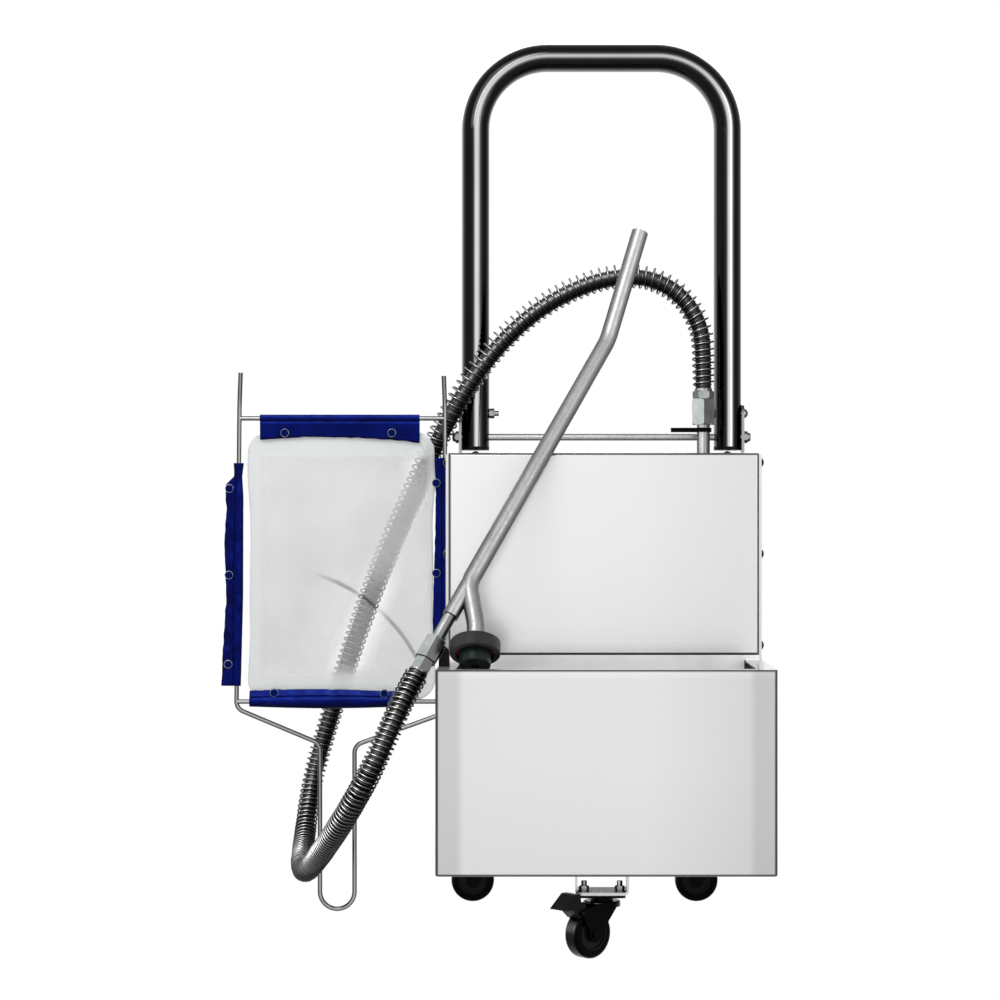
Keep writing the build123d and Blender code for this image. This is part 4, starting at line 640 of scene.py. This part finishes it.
# Knots of (share of the hose, metres): the guard is open over the arch and close at the low bend.
GUARD_RADIUS = ((0.0, 0.0114), (0.04, 0.0124), (0.1, 0.0132), (0.38, 0.0132), (0.5, 0.0122),
                (0.6, 0.0116), (1.0, 0.0116))
GUARD_PITCH = ((0.0, 0.0070), (0.05, 0.0082), (0.28, 0.0085), (0.5, 0.0075), (0.62, 0.0058),
               (0.70, 0.0040), (0.80, 0.0038), (0.9, 0.0050), (1.0, 0.0058))
GUARD_STAND_OFF = ((0.0, 0.0), (0.08, 0.0004), (0.12, 0.0017), (0.38, 0.0017), (0.5, 0.0),
                   (1.0, 0.0))
GUARD_LEAN = 1.3
RIB_WIRE_R = 0.0008
RIB_RADIUS = ((0.0, 0.0091), (1.0, 0.0091))
RIB_PITCH = ((0.0, 0.0036), (1.0, 0.0036))
NO_STAND_OFF = ((0.0, 0.0), (1.0, 0.0))
# The wire's radius round the hose wavers a little along the way, so its turns are not all alike.
UNEVEN = 0.0004
UNEVEN_PER_METRE = 60
STEPS_PER_TURN = 22
WIRE_SIDES = 7
ARCH_CENTRE = at(-20, 370, 560)


def coil_path(line, wire_r, radius, pitch, stand_off):
    """The wire's path round the hose; where it stands off, it does so outwards and leans."""
    lengths = arc_lengths(line)
    total = lengths[-1]
    s, angle, hint = wire_r * 2, 0.0, 0
    tangent = (line[1] - line[0]).normalized()
    side = tangent.orthogonal().normalized()
    path = []
    while s < total - wire_r * 2:
        share = s / total
        place, now, hint = along(line, lengths, s, hint)
        side = (side - now * side.dot(now)).normalized()
        up = now.cross(side)
        uneven = UNEVEN * noise.noise(Vector((s * UNEVEN_PER_METRE, 3.7, 1.1)))
        away = place - ARCH_CENTRE
        away = (away - now * away.dot(now)).normalized() * between(stand_off, share)
        ray = side * math.cos(angle) + up * math.sin(angle)
        lean = now * (-ray.y * between(stand_off, share) * GUARD_LEAN)
        path.append(place + away + lean + ray * (between(radius, share) + uneven))
        angle += 2 * math.pi / STEPS_PER_TURN
        s += between(pitch, share) / STEPS_PER_TURN
    return path


def swept_wire(path, wire_r):
    """Vertices and faces of a round wire along a path, closed at both ends."""
    vertices = []
    last = len(path) - 1
    out = None
    for i, place in enumerate(path):
        ahead = path[min(i + 1, last)] - path[max(i - 1, 0)]
        ahead.normalize()
        out = ahead.orthogonal() if out is None else out - ahead * out.dot(ahead)
        out.normalize()
        across = ahead.cross(out)
        for k in range(WIRE_SIDES):
            turn = 2 * math.pi * k / WIRE_SIDES
            vertices.append(place + (out * math.cos(turn) + across * math.sin(turn)) * wire_r)
    faces = []
    for i in range(last):
        for k in range(WIRE_SIDES):
            a, b = i * WIRE_SIDES + k, i * WIRE_SIDES + (k + 1) % WIRE_SIDES
            faces.append((a, b, b + WIRE_SIDES, a + WIRE_SIDES))
    faces.append(tuple(reversed(range(WIRE_SIDES))))
    faces.append(tuple(range(last * WIRE_SIDES, len(path) * WIRE_SIDES)))
    return vertices, faces


def make_coil(name, line, wire_r, radius, pitch, stand_off, material, nodes=()):
    """A wire wound round the hose, as one swept mesh; radius, pitch and stand-off are knots."""
    vertices, faces = swept_wire(coil_path(line, wire_r, radius, pitch, stand_off), wire_r)
    return add_piece(name, vertices, faces, material, "cart", nodes)


route = hose_points()
hose_line = centreline(route)
hose = nurbs_curve("hose_body", route, HOSE_OD / 2)
hose.data.use_fill_caps = True
hose.data.materials.append(HOSE)
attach(hose, "cart")
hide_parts("return_hose")
coil = make_coil("hose_coil", hose_line, GUARD_WIRE_R, GUARD_RADIUS, GUARD_PITCH, GUARD_STAND_OFF,
                 SPRING, ["hose_spring_guard"])
ribs = make_coil("hose_ribs", hose_line, RIB_WIRE_R, RIB_RADIUS, RIB_PITCH, NO_STAND_OFF, RIB)


# ---- Filter bag -------------------------------------------------------------------------
BAG_LEFT, BAG_RIGHT = -404.5, -190.5
BAG_LOW, BAG_HIGH = 241.5, 546.0
BAG_CORNER = 22.0
BAG_COLUMNS, BAG_ROWS = 91, 121
PULLED_IN = 3.0
# The puff is full at one ninth of the width and one tenth of the height in from the rim.
RIM_ACROSS, RIM_UP = 9, 10
SIDE_CRUMPLE, END_CRUMPLE = 1.8, 2.5
WRINKLE, FINE_WRINKLE = 1.3, 0.5


def fold_noise(x, z, seed, scale):
    return noise.noise(Vector((x * scale, seed, z * scale)))


def grid_faces(rows, columns):
    faces = []
    for r in range(rows - 1):
        for c in range(columns - 1):
            a = r * columns + c
            faces.append((a, a + 1, a + 1 + columns, a + columns))
    return faces


def bag_edge(u, v):
    """Where a point of the cloth lies in X and Z: rounded corners, edges pulled in between them."""
    half_x, half_z = (BAG_RIGHT - BAG_LEFT) / 2, (BAG_HIGH - BAG_LOW) / 2
    x, z = (2 * u - 1) * half_x, (2 * v - 1) * half_z
    over_x = abs(x) - (half_x - BAG_CORNER)
    over_z = abs(z) - (half_z - BAG_CORNER)
    if over_x > 0 and over_z > 0:
        shrink = max(over_x, over_z) / math.hypot(over_x, over_z)
        x = math.copysign(half_x - BAG_CORNER + over_x * shrink, x)
        z = math.copysign(half_z - BAG_CORNER + over_z * shrink, z)
    side = x / half_x
    x -= side * (PULLED_IN * math.sin(math.pi * v) ** 2
                 + SIDE_CRUMPLE * abs(side) ** 3 * fold_noise(side, v * 5, 2.0, 1.3))
    z += END_CRUMPLE * (z / half_z) ** 3 * fold_noise(u * 4, 1.0, 6.0, 1.2)
    return x + (BAG_LEFT + BAG_RIGHT) / 2, z + (BAG_LOW + BAG_HIGH) / 2


def make_bag_layer(name, depth, puff, seed):
    """One layer of the bag, depth back from the tank's front, puffed and wrinkled inside its rim."""
    vertices = []
    for r in range(BAG_ROWS):
        v = r / (BAG_ROWS - 1)
        for c in range(BAG_COLUMNS):
            u = c / (BAG_COLUMNS - 1)
            x, z = bag_edge(u, v)
            inside = min(1.0, min(u, 1 - u) * RIM_ACROSS) * min(1.0, min(v, 1 - v) * RIM_UP)
            y = depth + puff * inside ** 0.7
            y += inside * (WRINKLE * fold_noise(u, v, seed, 5.0)
                           + FINE_WRINKLE * fold_noise(u, v, seed, 16.0))
            vertices.append(at(x, y, z))
    return add_piece(name, vertices, grid_faces(BAG_ROWS, BAG_COLUMNS), CLOTH, "filter_frame",
                     thickness=0.0003)


bag_front = make_bag_layer("bag_front", 355.6, -0.4, 1.0)
bag_back = make_bag_layer("bag_back", 357.2, 4.2, 9.0)
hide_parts("filter_bag")


# ---- Blue sleeves -----------------------------------------------------------------------
ROW_STEP = 1.6
TAIL_STEPS = 8
ROLL_STEPS = 12
TAIL_SPREAD = 0.55
RAGGED = 0.7
PUCKER = 0.35
FOLD_LENGTH = 40
RAGGED_LENGTH = 9


def tail_point(layer, share, tail, wave, roll):
    """A point of a tail: share 0 at its free end and 1 at the roll; layer is -1 front, 1 back."""
    free = 1 - share
    return (-tail * free - roll * 0.9 * share,
            layer * TAIL_SPREAD * free + layer * roll * 0.5 * share + wave * free)


def sleeve_section(tail, wave, roll):
    """A strip folded round a wire: points (across, depth), from one tail end round to the other."""
    shares = [k / TAIL_STEPS for k in range(TAIL_STEPS + 1)]
    points = [tail_point(-1, share, tail, wave, roll) for share in shares]
    for k in range(1, ROLL_STEPS):
        turn = math.radians(210 - 240 * k / ROLL_STEPS)
        points.append((math.cos(turn) * roll, -math.sin(turn) * roll * 0.8))
    points += [tail_point(1, share, tail, wave, roll) for share in reversed(shares)]
    return points


def make_sleeve(name, node, start, end, outward, tail_of, roll_of, crumple, seed):
    """A blue sleeve along a wire from start to end; outward points from its tails to the wire.

    Its tail's length and its roll's radius go by the share of the way; the rest is millimetres.
    """
    start, end, outward = Vector(start), Vector(end), Vector(outward).normalized()
    length = (end - start).length
    rows = int(length / ROW_STEP)
    vertices = []
    for r in range(rows):
        share = r / (rows - 1)
        centre = start.lerp(end, share)
        roll = roll_of(share)
        place = share * length / FOLD_LENGTH
        ripple = crumple * fold_noise(place, seed, seed, 1.7)
        section = sleeve_section(tail_of(share), ripple, roll)
        ragged = RAGGED * fold_noise(share * length / RAGGED_LENGTH, seed + 4, seed, 1.0)
        for across, depth in section:
            stretch = across + (ragged if across < -roll else 0.0)
            pucker = PUCKER * crumple * fold_noise(place * 2.2, seed + 2 + across / 9, 0.0, 1.6)
            vertices.append(at(*(centre + outward * stretch + Vector((0, depth + pucker, 0)))))
    return add_piece(name, vertices, grid_faces(rows, len(section)), VINYL, "filter_frame",
                     [node], thickness=0.0005)


def top_tail(share):
    return between(((0, 24.5), (0.3, 21.0), (0.6, 22.0), (0.9, 25.5), (1, 28.5)), share)


def low_tail(share):
    return 12.5 + 1.5 * math.sin(share * 4.0)


def low_roll(share):
    return 5.6 + 2.0 * math.sin(math.pi * share)


def left_tail(share):
    return between(((0, 17.4), (0.2, 15.7), (0.39, 12.8), (0.48, 13.6), (0.65, 15.8),
                    (0.79, 13.4), (0.86, 14.8), (0.905, 14.6), (0.94, 5.0), (1, 6.0)), share)


def left_roll(share):
    return between(((0, 4.6), (0.4, 6.2), (0.85, 5.4), (0.94, 3.8), (1, 5.6)), share)


def right_tail(share):
    return 12.0 + 1.5 * math.sin(share * 5.0 + 1.0)


def tight_roll(share):
    return 4.2


FRAME_Y = 352
sleeves = [
    make_sleeve("sleeve_top", "bag_sleeve_top", (-390, FRAME_Y, 562), (-208, FRAME_Y, 562),
                (0, 0, 1), top_tail, tight_roll, 0.9, 1.0),
    make_sleeve("sleeve_bottom", "bag_sleeve_bottom", (-402, FRAME_Y, 239), (-225, FRAME_Y, 239),
                (0, 0, -1), low_tail, low_roll, 0.9, 2.0),
    make_sleeve("sleeve_left", "bag_sleeve_left", (-416.7, FRAME_Y, 257), (-414.2, FRAME_Y, 511),
                (1, 0, 0), left_tail, left_roll, 2.4, 3.0),
    make_sleeve("sleeve_right", "bag_sleeve_right", (-179.3, FRAME_Y, 309),
                (-179.3, FRAME_Y, 517), (1, 0, 0), right_tail, tight_roll, 1.2, 4.0),
]
